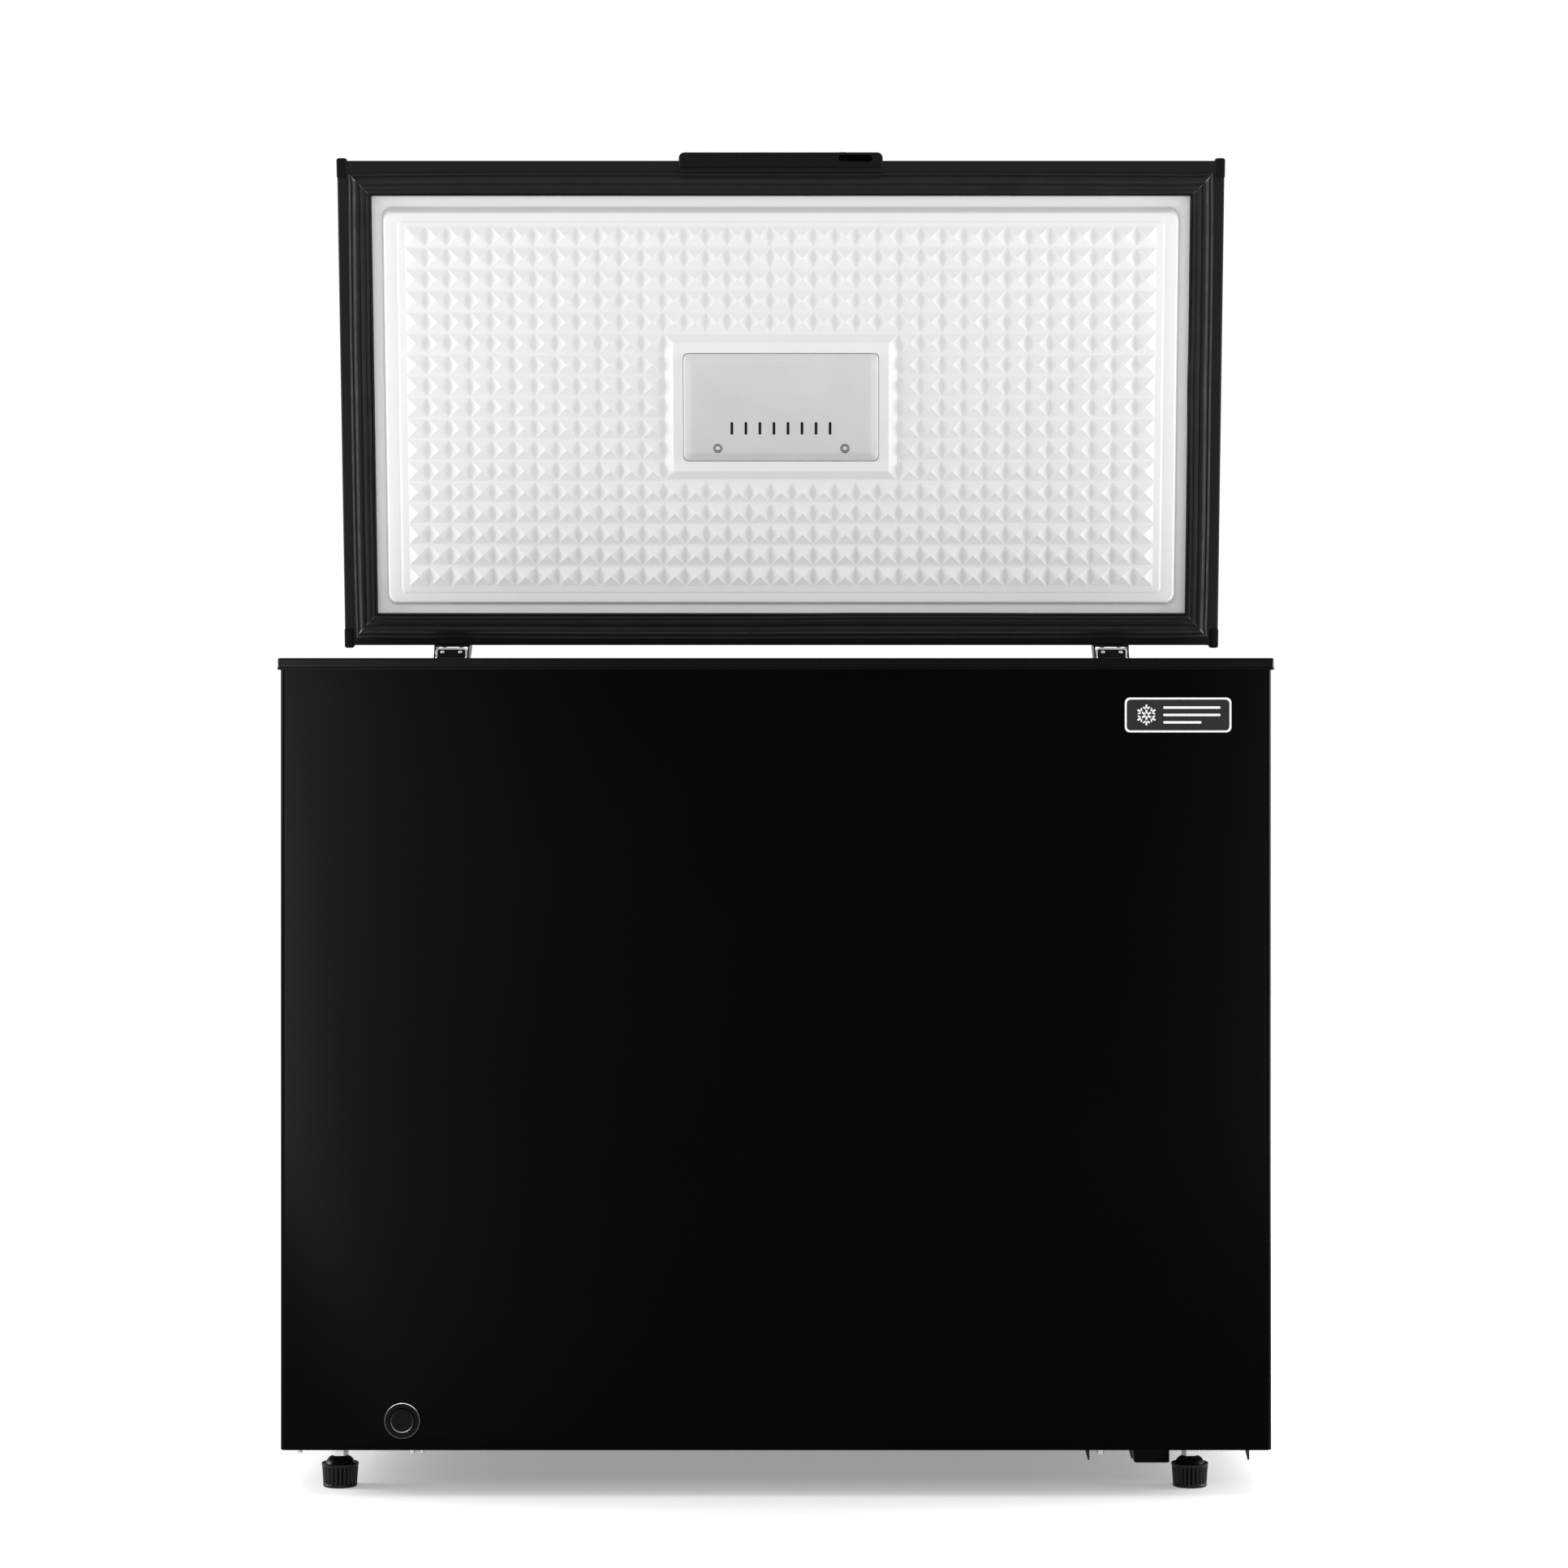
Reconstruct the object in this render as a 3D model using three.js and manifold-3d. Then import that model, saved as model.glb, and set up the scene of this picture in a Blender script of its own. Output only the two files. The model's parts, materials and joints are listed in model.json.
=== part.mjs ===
// A chest freezer of about 200 litres, standing with its lid open.
// Millimetres. X runs to the right, Y to the back, Z up from the floor.
// Pieces are laid out with the front of the rim at Y = 0. The last lines move the group
// so that its origin is under the middle of the whole object.
import * as THREE from 'three';
import { mergeVertices } from 'three/addons/utils/BufferGeometryUtils.js';
import Module from 'manifold-3d';

const wasm = await Module();
wasm.setup();

// ---------------------------------------------------------------- driving dimensions
const GAP = 0.3; // kept between pieces that touch
const SHEET = 1; // steel sheet
const SKIN_CORNER = 6; // upright corners of the skin
const RIM_WIDTH = 946; // outside of the rim, side to side
const RIM_DEPTH = 526; // outside of the rim, front to back
const RIM_TOP = 795;
const RIM_FACE = 11; // height of the rim's outer face
const RIM_LAND = 55; // width of the flat top that the lid's seal meets
const OVERHANG = 3; // rim beyond the cabinet's skin
const CABINET_BOTTOM = 44;
const WALL = 57; // skin, foam and tub wall together
const TUB_RADIUS = 30; // upright corners of the tub
const TUB_SHEET = 1.5;
const STEP_WIDTH = 190; // raised part of the tub's floor, over the compressor
const STEP_RISE = 260;
const COIL_SPACE = 7; // room for the tubes behind each skin
const LID_WIDTH = 946;
const LID_DEPTH = 519.3;
const LID_HEIGHT = 48; // steel part of the lid
const SEAL_ROOM = 12; // rim top to the lid's steel edge when closed
const PIN_BEHIND = 16.3; // hinge pin behind the lid's rear edge
const PIN_ABOVE = 2.5; // hinge pin above the lid's steel edge
const OPEN_ANGLE = THREE.MathUtils.degToRad(81.8); // lid from closed to the modelled rest
const HINGE_X = 357.5;
const FOOT_LEFT_X = -420;
const FOOT_RIGHT_X = 397.7;
const FOOT_FROM_EDGE = 62; // foot centre from the rim's front or back
const KNOB_RADIUS = 17.8;
const KNOB_TOP = 29.1;
const DRAIN_X = -353.9;
const DRAIN_Z = 72.4;
const BASKET_WIDTH = 300;
const BASKET_HEIGHT = 195;

// ---------------------------------------------------------------- derived places
const CABINET_X = RIM_WIDTH / 2 - OVERHANG; // skin's outer face, right side
const CABINET_FRONT = OVERHANG;
const CABINET_BACK = RIM_DEPTH - OVERHANG;
const RIM_SHEET = 3;
const LEDGE_Z = RIM_TOP - RIM_SHEET - RIM_FACE + 0.2; // tub's top flange
const TUB_X = CABINET_X - WALL; // tub's inner faces
const TUB_FRONT = CABINET_FRONT + WALL;
const TUB_BACK = CABINET_BACK - WALL;
const TUB_FLOOR = CABINET_BOTTOM + WALL;
const STEP_X = TUB_X - STEP_WIDTH;
const STEP_FLOOR = TUB_FLOOR + STEP_RISE;
const BAY_X = STEP_X + 43; // compressor bay's left wall
const BAY_TOP = STEP_FLOOR - 42;
const LID_BOTTOM = RIM_TOP + SEAL_ROOM;
const LID_TOP = LID_BOTTOM + LID_HEIGHT;
const LID_BACK = RIM_DEPTH;
const LID_FRONT = LID_BACK - LID_DEPTH;
const LID_X = LID_WIDTH / 2;
const PIN_Y = LID_BACK + PIN_BEHIND;
const PIN_Z = LID_BOTTOM + PIN_ABOVE;
const FOOT_FRONT_Y = FOOT_FROM_EDGE;
const FOOT_BACK_Y = RIM_DEPTH - FOOT_FROM_EDGE;
const PLUG_Y = 110; // drain hole in the tub's floor

// ---------------------------------------------------------------- finishes
const finish = (color, roughness, metalness = 0) => () =>
  new THREE.MeshStandardMaterial({ color, roughness, metalness });
const LOOK = {
  blackPaint: finish(0x0c0d0f, 0.4, 0.3),
  blackPlastic: finish(0x101012, 0.55),
  zinc: finish(0xb9bcc0, 0.35, 0.9),
  darkSteel: finish(0x17181a, 0.6, 0.5),
  foam: finish(0xe6d9a8, 0.9),
  whiteLiner: finish(0xe9ebee, 0.4),
  aluminium: finish(0xc9ccd0, 0.35, 0.9),
  copper: finish(0xb06a3c, 0.35, 0.9),
  grayPlastic: finish(0xcfd0d4, 0.35),
  seal: finish(0x2b2c2e, 0.7),
  board: finish(0x2f6b45, 0.5),
  spring: finish(0x8d9094, 0.4, 0.9),
};

// ---------------------------------------------------------------- solids
// Turns a closed geometry into a solid: shared vertices merged, slivers dropped, faces out.
function solid(geometry) {
  const loose = geometry.index ? geometry.toNonIndexed() : geometry.clone();
  loose.deleteAttribute('normal');
  loose.deleteAttribute('uv');
  const merged = mergeVertices(loose, 1e-3);
  const points = merged.attributes.position.array;
  const corners = merged.index.array;
  const kept = [];
  let volume = 0;
  const at = (i) => new THREE.Vector3().fromArray(points, 3 * i);
  for (let t = 0; t < corners.length; t += 3) {
    const [a, b, c] = corners.slice(t, t + 3);
    if (a === b || b === c || c === a) continue;
    kept.push(a, b, c);
    volume += at(a).dot(at(b).cross(at(c)));
  }
  if (volume < 0) kept.reverse();
  return new wasm.Manifold(new wasm.Mesh({
    numProp: 3,
    vertProperties: Float32Array.from(points),
    triVerts: Uint32Array.from(kept),
  }));
}

function geometryOf(piece) {
  const { vertProperties, triVerts } = piece.getMesh();
  const geometry = new THREE.BufferGeometry();
  geometry.setAttribute('position', new THREE.BufferAttribute(vertProperties, 3));
  geometry.setIndex(new THREE.BufferAttribute(triVerts, 1));
  geometry.computeVertexNormals();
  return geometry;
}

const join = (first, ...rest) => rest.reduce((sum, piece) => sum.add(piece), first);
const cut = (first, ...rest) => rest.reduce((left, piece) => left.subtract(piece), first);

function box(x0, x1, y0, y1, z0, z1) {
  const shape = new THREE.BoxGeometry(x1 - x0, y1 - y0, z1 - z0);
  return solid(shape.translate((x0 + x1) / 2, (y0 + y1) / 2, (z0 + z1) / 2));
}

function outline(points) {
  return new THREE.Shape(points.map(([a, b]) => new THREE.Vector2(a, b)));
}

function roundedOutline(a0, a1, b0, b1, radius) {
  const shape = new THREE.Shape();
  const right = 0;
  const up = Math.PI / 2;
  shape.absarc(a1 - radius, b0 + radius, radius, -up, right);
  shape.absarc(a1 - radius, b1 - radius, radius, right, up);
  shape.absarc(a0 + radius, b1 - radius, radius, up, 2 * up);
  shape.absarc(a0 + radius, b0 + radius, radius, 2 * up, 3 * up);
  return shape;
}

function extrude(shape, depth, rounding = 4) {
  return new THREE.ExtrudeGeometry(shape, { depth, bevelEnabled: false, curveSegments: rounding });
}

// A plan outline (X, Y) raised from z0 to z1.
function alongZ(shape, z0, z1, rounding) {
  return solid(extrude(shape, z1 - z0, rounding).translate(0, 0, z0));
}

// A side outline (Y, Z) stretched from x0 to x1.
function alongX(shape, x0, x1, rounding) {
  const axes = new THREE.Matrix4().makeBasis(
    new THREE.Vector3(0, 1, 0), new THREE.Vector3(0, 0, 1), new THREE.Vector3(1, 0, 0));
  return solid(extrude(shape, x1 - x0, rounding).applyMatrix4(axes).translate(x0, 0, 0));
}

// A front outline (X, Z) stretched from y0 to y1.
function alongY(shape, y0, y1, rounding) {
  const axes = new THREE.Matrix4().makeBasis(
    new THREE.Vector3(1, 0, 0), new THREE.Vector3(0, 0, 1), new THREE.Vector3(0, -1, 0));
  return solid(extrude(shape, y1 - y0, rounding).applyMatrix4(axes).translate(0, y1, 0));
}

function slab(x0, x1, y0, y1, z0, z1, radius) {
  return alongZ(roundedOutline(x0, x1, y0, y1, radius), z0, z1);
}

// A profile of (radius, height) pairs turned about an upright axis through the origin.
function turned(profile, sides = 20) {
  const points = profile.map(([r, h]) => new THREE.Vector2(r, h));
  return new THREE.LatheGeometry(points, sides).rotateX(Math.PI / 2);
}

// The profile of a plain round bar.
const bar = (radius, h0, h1) => [[0, h0], [radius, h0], [radius, h1], [0, h1]];

// The same, with heights measured along +Y from the point given.
function turnedAlongY(profile, x, y, z, sides) {
  return solid(turned(profile, sides).rotateX(-Math.PI / 2).translate(x, y, z));
}

function turnedAlongX(profile, x, y, z, sides) {
  return solid(turned(profile, sides).rotateY(Math.PI / 2).translate(x, y, z));
}

function upright(profile, x, y, z, sides) {
  return solid(turned(profile, sides).translate(x, y, z));
}

// A path through a list of points, with one extrusion step to each, so that bends stay put.
class Route extends THREE.Curve {
  constructor(points) {
    super();
    this.stops = points.map((p) => new THREE.Vector3(...p));
  }

  getPoint(t) {
    const along = t * (this.stops.length - 1);
    const before = Math.min(Math.floor(along), this.stops.length - 2);
    return this.stops[before].clone().lerp(this.stops[before + 1], along - before);
  }

  getUtoTmapping(u) {
    return u;
  }

  getTangent(t) {
    const last = this.stops.length - 1;
    const at = Math.round(t * last);
    const here = this.stops[at];
    const into = here.clone().sub(this.stops[Math.max(at - 1, 0)]).normalize();
    const out = this.stops[Math.min(at + 1, last)].clone().sub(here).normalize();
    return into.add(out).normalize();
  }
}

function tube(points, radius, sides, bore = 0) {
  const section = new THREE.Shape();
  section.absarc(0, 0, radius, 0, 2 * Math.PI);
  if (bore > 0) section.holes.push(new THREE.Path().absarc(0, 0, bore, 0, 2 * Math.PI, true));
  return solid(new THREE.ExtrudeGeometry(section, {
    steps: points.length - 1, extrudePath: new Route(points), curveSegments: sides / 2,
  }));
}

// Points on a smooth curve through a few places.
function smooth(places, steps) {
  const curve = new THREE.CatmullRomCurve3(places.map((p) => new THREE.Vector3(...p)));
  return curve.getPoints(steps).map((p) => p.toArray());
}

// ---------------------------------------------------------------- the scene graph
const freezer = new THREE.Group();
const cabinet = new THREE.Group();
const lidTurn = new THREE.Group(); // turned about the hinge pins
const lid = new THREE.Group(); // laid out in the closed position
freezer.add(cabinet, lidTurn);
lidTurn.add(lid);
lidTurn.position.set(0, PIN_Y, PIN_Z);
lidTurn.rotation.x = -OPEN_ANGLE;
lid.position.set(0, -PIN_Y, -PIN_Z);

function piece(parent, name, body, look, x = 0, y = 0, z = 0) {
  const mesh = new THREE.Mesh(geometryOf(body), look());
  mesh.name = name;
  mesh.position.set(x, y, z);
  parent.add(mesh);
}

// ---------------------------------------------------------------- cabinet skin and foam
const SKIN_TOP = RIM_TOP - RIM_SHEET - GAP * 2;
const KNOB_HOLE = 18.6;
const THERMOSTAT_Y = 120;
const THERMOSTAT_Z = 220;
const VENT = { y0: 330, y1: 480, z0: 90, z1: 250 };
const DRAIN_BARREL = 11.7;

function outerWrap() {
  const back = CABINET_BACK - SHEET - GAP;
  const past = back + 2 * WALL; // the outline runs on behind, where it is cut off square
  const around = slab(-CABINET_X, CABINET_X, CABINET_FRONT, past, CABINET_BOTTOM, SKIN_TOP,
    SKIN_CORNER);
  const inside = slab(-CABINET_X + SHEET, CABINET_X - SHEET, CABINET_FRONT + SHEET, past + 1,
    CABINET_BOTTOM - 1, SKIN_TOP + 1, SKIN_CORNER - SHEET);
  const behind = box(-RIM_WIDTH, RIM_WIDTH, back, past + 2, 0, RIM_TOP);
  const through = 5 * SHEET;
  const vent = box(CABINET_X - through, CABINET_X + through, VENT.y0, VENT.y1, VENT.z0, VENT.z1);
  const knobHole = turnedAlongX(bar(KNOB_HOLE, -through, through),
    CABINET_X, THERMOSTAT_Y, THERMOSTAT_Z);
  const drainHole = turnedAlongY(bar(DRAIN_BARREL + GAP, -through, through),
    DRAIN_X, CABINET_FRONT, DRAIN_Z);
  return cut(around, inside, behind, vent, knobHole, drainHole);
}

function backPanel() {
  return box(-CABINET_X, CABINET_X, CABINET_BACK - SHEET, CABINET_BACK, CABINET_BOTTOM, SKIN_TOP);
}

// One folded sheet: under the foam, up the bay's wall and over the bay.
function basePan() {
  const side = CABINET_X - SHEET - GAP;
  const z = CABINET_BOTTOM;
  const fold = outline([
    [-side, z], [BAY_X, z], [BAY_X, BAY_TOP - SHEET], [side, BAY_TOP - SHEET],
    [side, BAY_TOP], [BAY_X - SHEET, BAY_TOP], [BAY_X - SHEET, z + SHEET], [-side, z + SHEET],
  ]);
  return alongY(fold, CABINET_FRONT + SKIN_CORNER, CABINET_BACK - SHEET - 2 * GAP);
}

function foamInsulation() {
  const side = CABINET_X - SHEET - COIL_SPACE;
  const front = CABINET_FRONT + SHEET + COIL_SPACE;
  const back = CABINET_BACK - SHEET - GAP;
  const top = LEDGE_Z - TUB_SHEET - GAP;
  const low = CABINET_BOTTOM + SHEET + GAP;
  const block = slab(-side, side, front, back, low, top, TUB_RADIUS);
  const room = TUB_SHEET + COIL_SPACE;
  const wide = TUB_RADIUS + COIL_SPACE;
  const under = TUB_FLOOR - TUB_SHEET - GAP;
  const well = slab(-TUB_X - room, TUB_X + room, TUB_FRONT - room, TUB_BACK + room, under,
    top + 5, wide);
  const step = box(STEP_X + TUB_SHEET + GAP, TUB_X + room + 5, 0, RIM_DEPTH, low,
    STEP_FLOOR - TUB_SHEET - GAP);
  const bay = box(BAY_X - SHEET - GAP, CABINET_X, 0, RIM_DEPTH, 0, BAY_TOP + GAP);
  const beside = DRAIN_BARREL + 2.3; // foam kept away from the drain
  const drainRoom = box(DRAIN_X - beside, DRAIN_X + beside, 0, PLUG_Y + beside + 2,
    DRAIN_Z - beside, TUB_FLOOR);
  return cut(block, cut(well, step), bay, drainRoom);
}

function innerLiner() {
  const shell = (grow, low, high) => {
    const block = slab(-TUB_X - grow, TUB_X + grow, TUB_FRONT - grow, TUB_BACK + grow, low, high,
      TUB_RADIUS + grow);
    const step = box(STEP_X + grow, TUB_X + 50, 0, RIM_DEPTH, 0, STEP_FLOOR - grow);
    return cut(block, step);
  };
  const inset = 12; // flange's edge inside the skin
  const flange = slab(inset - CABINET_X, CABINET_X - inset, CABINET_FRONT + inset,
    CABINET_BACK - inset, LEDGE_Z - TUB_SHEET, LEDGE_Z, TUB_RADIUS);
  const outside = join(shell(TUB_SHEET, TUB_FLOOR - TUB_SHEET, LEDGE_Z), flange);
  const plugHole = upright(bar(PLUG_RADIUS + GAP, -9, 9), DRAIN_X, PLUG_Y, TUB_FLOOR);
  return cut(outside, shell(0, TUB_FLOOR, LEDGE_Z + 5), plugHole);
}

// ---------------------------------------------------------------- rim, four mitred strips
const LOCK_X = 66.5;
const CAM_LENGTH = 36;
const CAM_WIDTH = 9;
const KEEPER = { y0: 4, y1: 8 }; // slot in the rim that the cam drops into
const LOCK_SLOT = { x0: 61.3, x1: 97.5 }; // in the handle's underside

// A plan trapezoid between two insets, narrowing at 45 degrees, for a strip centred on X = 0.
function mitred(length, from, to, z0, z1) {
  const half = length / 2 - GAP;
  const plan = outline([
    [-half + from, from], [half - from, from], [half - to, to], [-half + to, to],
  ]);
  return alongZ(plan, z0, z1);
}

function rimStrip(length) {
  const lip = 3;
  return join(
    mitred(length, 0, RIM_LAND, RIM_TOP - RIM_SHEET, RIM_TOP),
    mitred(length, 0, OVERHANG - GAP, RIM_TOP - RIM_FACE, RIM_TOP),
    mitred(length, RIM_LAND - lip, RIM_LAND, LEDGE_Z + GAP, RIM_TOP),
  );
}

function rim() {
  const keeper = box(LOCK_X - 8, LOCK_X + CAM_LENGTH + 2, KEEPER.y0, KEEPER.y1,
    RIM_TOP - RIM_SHEET - 1, RIM_TOP + 1);
  piece(cabinet, 'rim_front', cut(rimStrip(RIM_WIDTH), keeper), LOOK.blackPlastic);
  const sides = [
    ['rim_rear', RIM_WIDTH, Math.PI, 0, RIM_DEPTH],
    ['rim_left', RIM_DEPTH, -Math.PI / 2, -RIM_WIDTH / 2, RIM_DEPTH / 2],
    ['rim_right', RIM_DEPTH, Math.PI / 2, RIM_WIDTH / 2, RIM_DEPTH / 2],
  ];
  for (const [name, length, turn, x, y] of sides) {
    piece(cabinet, name, rimStrip(length), LOOK.blackPlastic, x, y);
    cabinet.children.at(-1).rotation.z = turn;
  }
}

// ---------------------------------------------------------------- refrigeration tubes
// Points once round a rounded rectangle, rising by `rise`, from the right end of the back.
function lap(halfX, front, back, radius, z, rise) {
  const perCorner = 4;
  const corners = [
    [halfX - radius, back - radius, 90], [halfX - radius, front + radius, 0],
    [radius - halfX, front + radius, -90], [radius - halfX, back - radius, -180],
  ];
  const count = corners.length * (perCorner + 1);
  const points = [];
  for (const [x, y, from] of corners) {
    for (let i = 0; i <= perCorner; i += 1) {
      const angle = THREE.MathUtils.degToRad(from - 90 * (i / perCorner));
      const up = z + rise * (points.length / count);
      points.push([x + radius * Math.cos(angle), y + radius * Math.sin(angle), up]);
    }
  }
  return points;
}

function evaporatorTube() {
  const turns = 4;
  const pitch = 84;
  const start = STEP_FLOOR + 30;
  const away = TUB_SHEET + COIL_SPACE / 2;
  const points = [];
  for (let turn = 0; turn < turns; turn += 1) {
    points.push(...lap(TUB_X + away, TUB_FRONT - away, TUB_BACK + away, TUB_RADIUS + away,
      start + turn * pitch, pitch));
  }
  return tube(points, 2.3, 6);
}

// Runs to and fro behind the left, front and right of the skin.
function condenserTube() {
  const runs = 5;
  const top = 740;
  const drop = 85;
  const bend = 30;
  const side = CABINET_X - SHEET - COIL_SPACE / 2;
  const front = CABINET_FRONT + SHEET + COIL_SPACE / 2;
  const back = CABINET_BACK - 70;
  const points = [];
  for (let run = 0; run < runs; run += 1) {
    const z = top - drop * run;
    const first = run % 2 === 0 ? -1 : 1;
    const near = front + bend;
    const cornerX = side - bend * (1 - Math.SQRT1_2);
    const cornerY = front + bend * (1 - Math.SQRT1_2);
    for (const end of [first, -first]) {
      const stretch = [[end * side, back], [end * side, near], [end * cornerX, cornerY],
        [end * (side - bend), front]];
      const ordered = end === first ? stretch : stretch.reverse();
      points.push(...ordered.map(([x, y]) => [x, y, z]));
    }
    if (run < runs - 1) points.push([-first * side, back + bend / 2, z - drop / 2]);
  }
  return tube(points, 2.3, 6);
}

// ---------------------------------------------------------------- compressor bay
const COMPRESSOR = { x: 358, y: 300, radius: 68, low: 66, high: 236 };
const TRAY_TOP = CABINET_BOTTOM + 2.3;

function compressorTray() {
  const plate = box(BAY_X + GAP, CABINET_X - SHEET - GAP, CABINET_FRONT + SKIN_CORNER,
    CABINET_BACK - SHEET - 2 * GAP, TRAY_TOP - 2, TRAY_TOP);
  const within = TRAY_TOP - 1;
  const railFront = 90;
  const railBack = 410;
  const railLow = 31;
  const tipLow = 20;
  const rail = outline([
    [railFront, within], [railFront, tipLow], [railFront + 4, tipLow], [railFront + 16, railLow],
    [railBack, railLow], [railBack, within],
  ]);
  const stop = { x0: 346.3, x1: 380.6, y0: 88, y1: 128, low: 17.6 };
  return join(
    plate,
    alongX(rail, 299, 302),
    alongX(rail, 341.5, 344),
    alongX(rail, 454, 457),
    box(stop.x0, stop.x1, stop.y0, stop.y1, stop.low, within),
  );
}

function compressorShell() {
  const { radius: r, low, high } = COMPRESSOR;
  const seam = low + 95;
  const bulge = 18;
  const can = turned([
    [0, low], [r - bulge, low], [r - 5, low + 6], [r, low + bulge],
    [r, seam - 3], [r + 4, seam - 3], [r + 4, seam + 3], [r, seam + 3],
    [r, high - bulge], [r - 5, high - 6], [r - bulge, high], [0, high],
  ], 24);
  const footRadius = 11;
  const footX = 55;
  const footY = 75;
  const feet = [];
  for (const sx of [-1, 1]) {
    for (const sy of [-1, 1]) {
      feet.push(upright(bar(footRadius, TRAY_TOP + GAP, low + 1), sx * footX, sy * footY, 0, 12));
    }
  }
  const frame = box(-footX - 13, footX + 13, -footY - 13, footY + 13, low - 4, low + 2);
  return join(solid(can), frame, ...feet);
}

function terminalCover() {
  const inner = COMPRESSOR.x + COMPRESSOR.radius + 4 + GAP * 3;
  const { y } = COMPRESSOR;
  const wall = 2;
  const size = { out: 32, half: 34, low: 115, high: 185 };
  const shell = box(inner, inner + size.out, y - size.half, y + size.half, size.low, size.high);
  const hollow = box(inner - 1, inner + size.out - wall, y - size.half + wall, y + size.half - wall,
    size.low + wall, size.high - wall);
  return cut(shell, hollow);
}

function suctionLine() {
  const { x, y, radius, high } = COMPRESSOR;
  const out = x - radius - 1;
  const ceiling = BAY_TOP - SHEET - GAP;
  return tube(smooth([
    [out, y, high - 60], [out - 10, y, high - 58], [out - 16, y - 2, high - 40],
    [out - 16, y - 8, high], [out - 8, y - 20, high + 40], [out, y - 24, ceiling - 5],
    [out, y - 24, ceiling],
  ], 16), 4, 8);
}

function dischargeLine() {
  const { x, y, radius, low } = COMPRESSOR;
  const out = y - radius - 1;
  return tube(smooth([
    [x, out, low + 40], [x, out - 12, low + 40], [x + 8, out - 26, low + 52],
    [x + 22, out - 36, low + 90], [x + 40, out - 44, low + 110], [x + 70, out - 46, low + 112],
    [CABINET_X - SHEET - GAP, out - 46, low + 112],
  ], 16), 3, 8);
}

function sideVentGrille() {
  const louvres = 10;
  const border = 7;
  const end = 10;
  const through = 9;
  const pitch = (VENT.z1 - VENT.z0 - 2 * border) / louvres;
  const plate = box(CABINET_X - 2.4, CABINET_X + 1, VENT.y0 + GAP, VENT.y1 - GAP,
    VENT.z0 + GAP, VENT.z1 - GAP);
  const slots = [];
  for (let i = 0; i < louvres; i += 1) {
    const z = VENT.z0 + border + pitch * (i + 0.25);
    slots.push(box(CABINET_X - through, CABINET_X + through, VENT.y0 + end, VENT.y1 - end,
      z, z + pitch / 2));
  }
  return cut(plate, ...slots);
}

// ---------------------------------------------------------------- thermostat
const KNOB_BACK = CABINET_X - 5;

function thermostatBody() {
  const half = 26;
  const deep = 38;
  const face = KNOB_BACK - GAP;
  return box(face - deep, face, THERMOSTAT_Y - half, THERMOSTAT_Y + half,
    THERMOSTAT_Z - half, THERMOSTAT_Z + half);
}

function thermostatKnob() {
  const depth = OVERHANG + 4.8;
  const radius = KNOB_HOLE - 0.6;
  const disc = turnedAlongX([
    [0, 0], [radius, 0], [radius, depth - 3.5], [radius - 1.5, depth - 2.5], [0, depth - 2.5],
  ], KNOB_BACK, THERMOSTAT_Y, THERMOSTAT_Z, 32);
  const grip = box(KNOB_BACK + 2, KNOB_BACK + depth, THERMOSTAT_Y - 3, THERMOSTAT_Y + 3,
    THERMOSTAT_Z - radius + 3, THERMOSTAT_Z + radius - 3);
  return join(disc, grip);
}

// ---------------------------------------------------------------- drain
const PLUG_RADIUS = 10;
const DIAL_RADIUS = 11.4;
const DIAL_OUT = 5.5; // dial's face in front of the skin
const SOCKET_BORE = 9.3;

function drainSocket() {
  const ring = 17;
  const step = DIAL_RADIUS + GAP;
  return turnedAlongY([
    [SOCKET_BORE, 11], [SOCKET_BORE, -1.5], [step, -1.5], [step, -3.5], [ring - 1.2, -3.5],
    [ring, -2.3], [ring, -GAP], [DRAIN_BARREL, -GAP], [DRAIN_BARREL, 11], [SOCKET_BORE, 11],
  ], DRAIN_X, CABINET_FRONT, DRAIN_Z, 28);
}

function drainStem() {
  const r = SOCKET_BORE - GAP;
  return turnedAlongY(bar(r, -1.5, 26), DRAIN_X, CABINET_FRONT, DRAIN_Z, 20);
}

function drainDial() {
  const back = -1.5 - GAP;
  const edge = 0.6;
  const face = CABINET_FRONT - DIAL_OUT;
  const disc = turnedAlongY([
    [0, back], [DIAL_RADIUS, back], [DIAL_RADIUS, edge - DIAL_OUT], [DIAL_RADIUS - edge, -DIAL_OUT],
    [0, -DIAL_OUT],
  ], DRAIN_X, CABINET_FRONT, DRAIN_Z, 28);
  const notch = box(DRAIN_X + 7, DRAIN_X + 13, face - 1, face + 1.5, DRAIN_Z - 8, DRAIN_Z - 5);
  return cut(disc, notch);
}

function drainTube() {
  const top = TUB_FLOOR - 7;
  const from = CABINET_FRONT + 28;
  return tube(smooth([
    [DRAIN_X, PLUG_Y, top], [DRAIN_X, PLUG_Y, top - 4], [DRAIN_X, PLUG_Y - 5, DRAIN_Z + 7],
    [DRAIN_X, PLUG_Y - 16, DRAIN_Z], [DRAIN_X, PLUG_Y - 30, DRAIN_Z], [DRAIN_X, from, DRAIN_Z],
  ], 10), 9, 10, 7);
}

function drainPlug() {
  const head = PLUG_RADIUS + 5;
  const thick = 4;
  const grip = 4; // radius of the peg it is pulled by
  return upright([
    [0, -5], [PLUG_RADIUS, -5], [PLUG_RADIUS, GAP], [head, GAP], [head, thick - 1],
    [head - 1, thick], [grip, thick], [grip, thick + 5], [0, thick + 5],
  ], DRAIN_X, PLUG_Y, TUB_FLOOR, 24);
}

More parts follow.
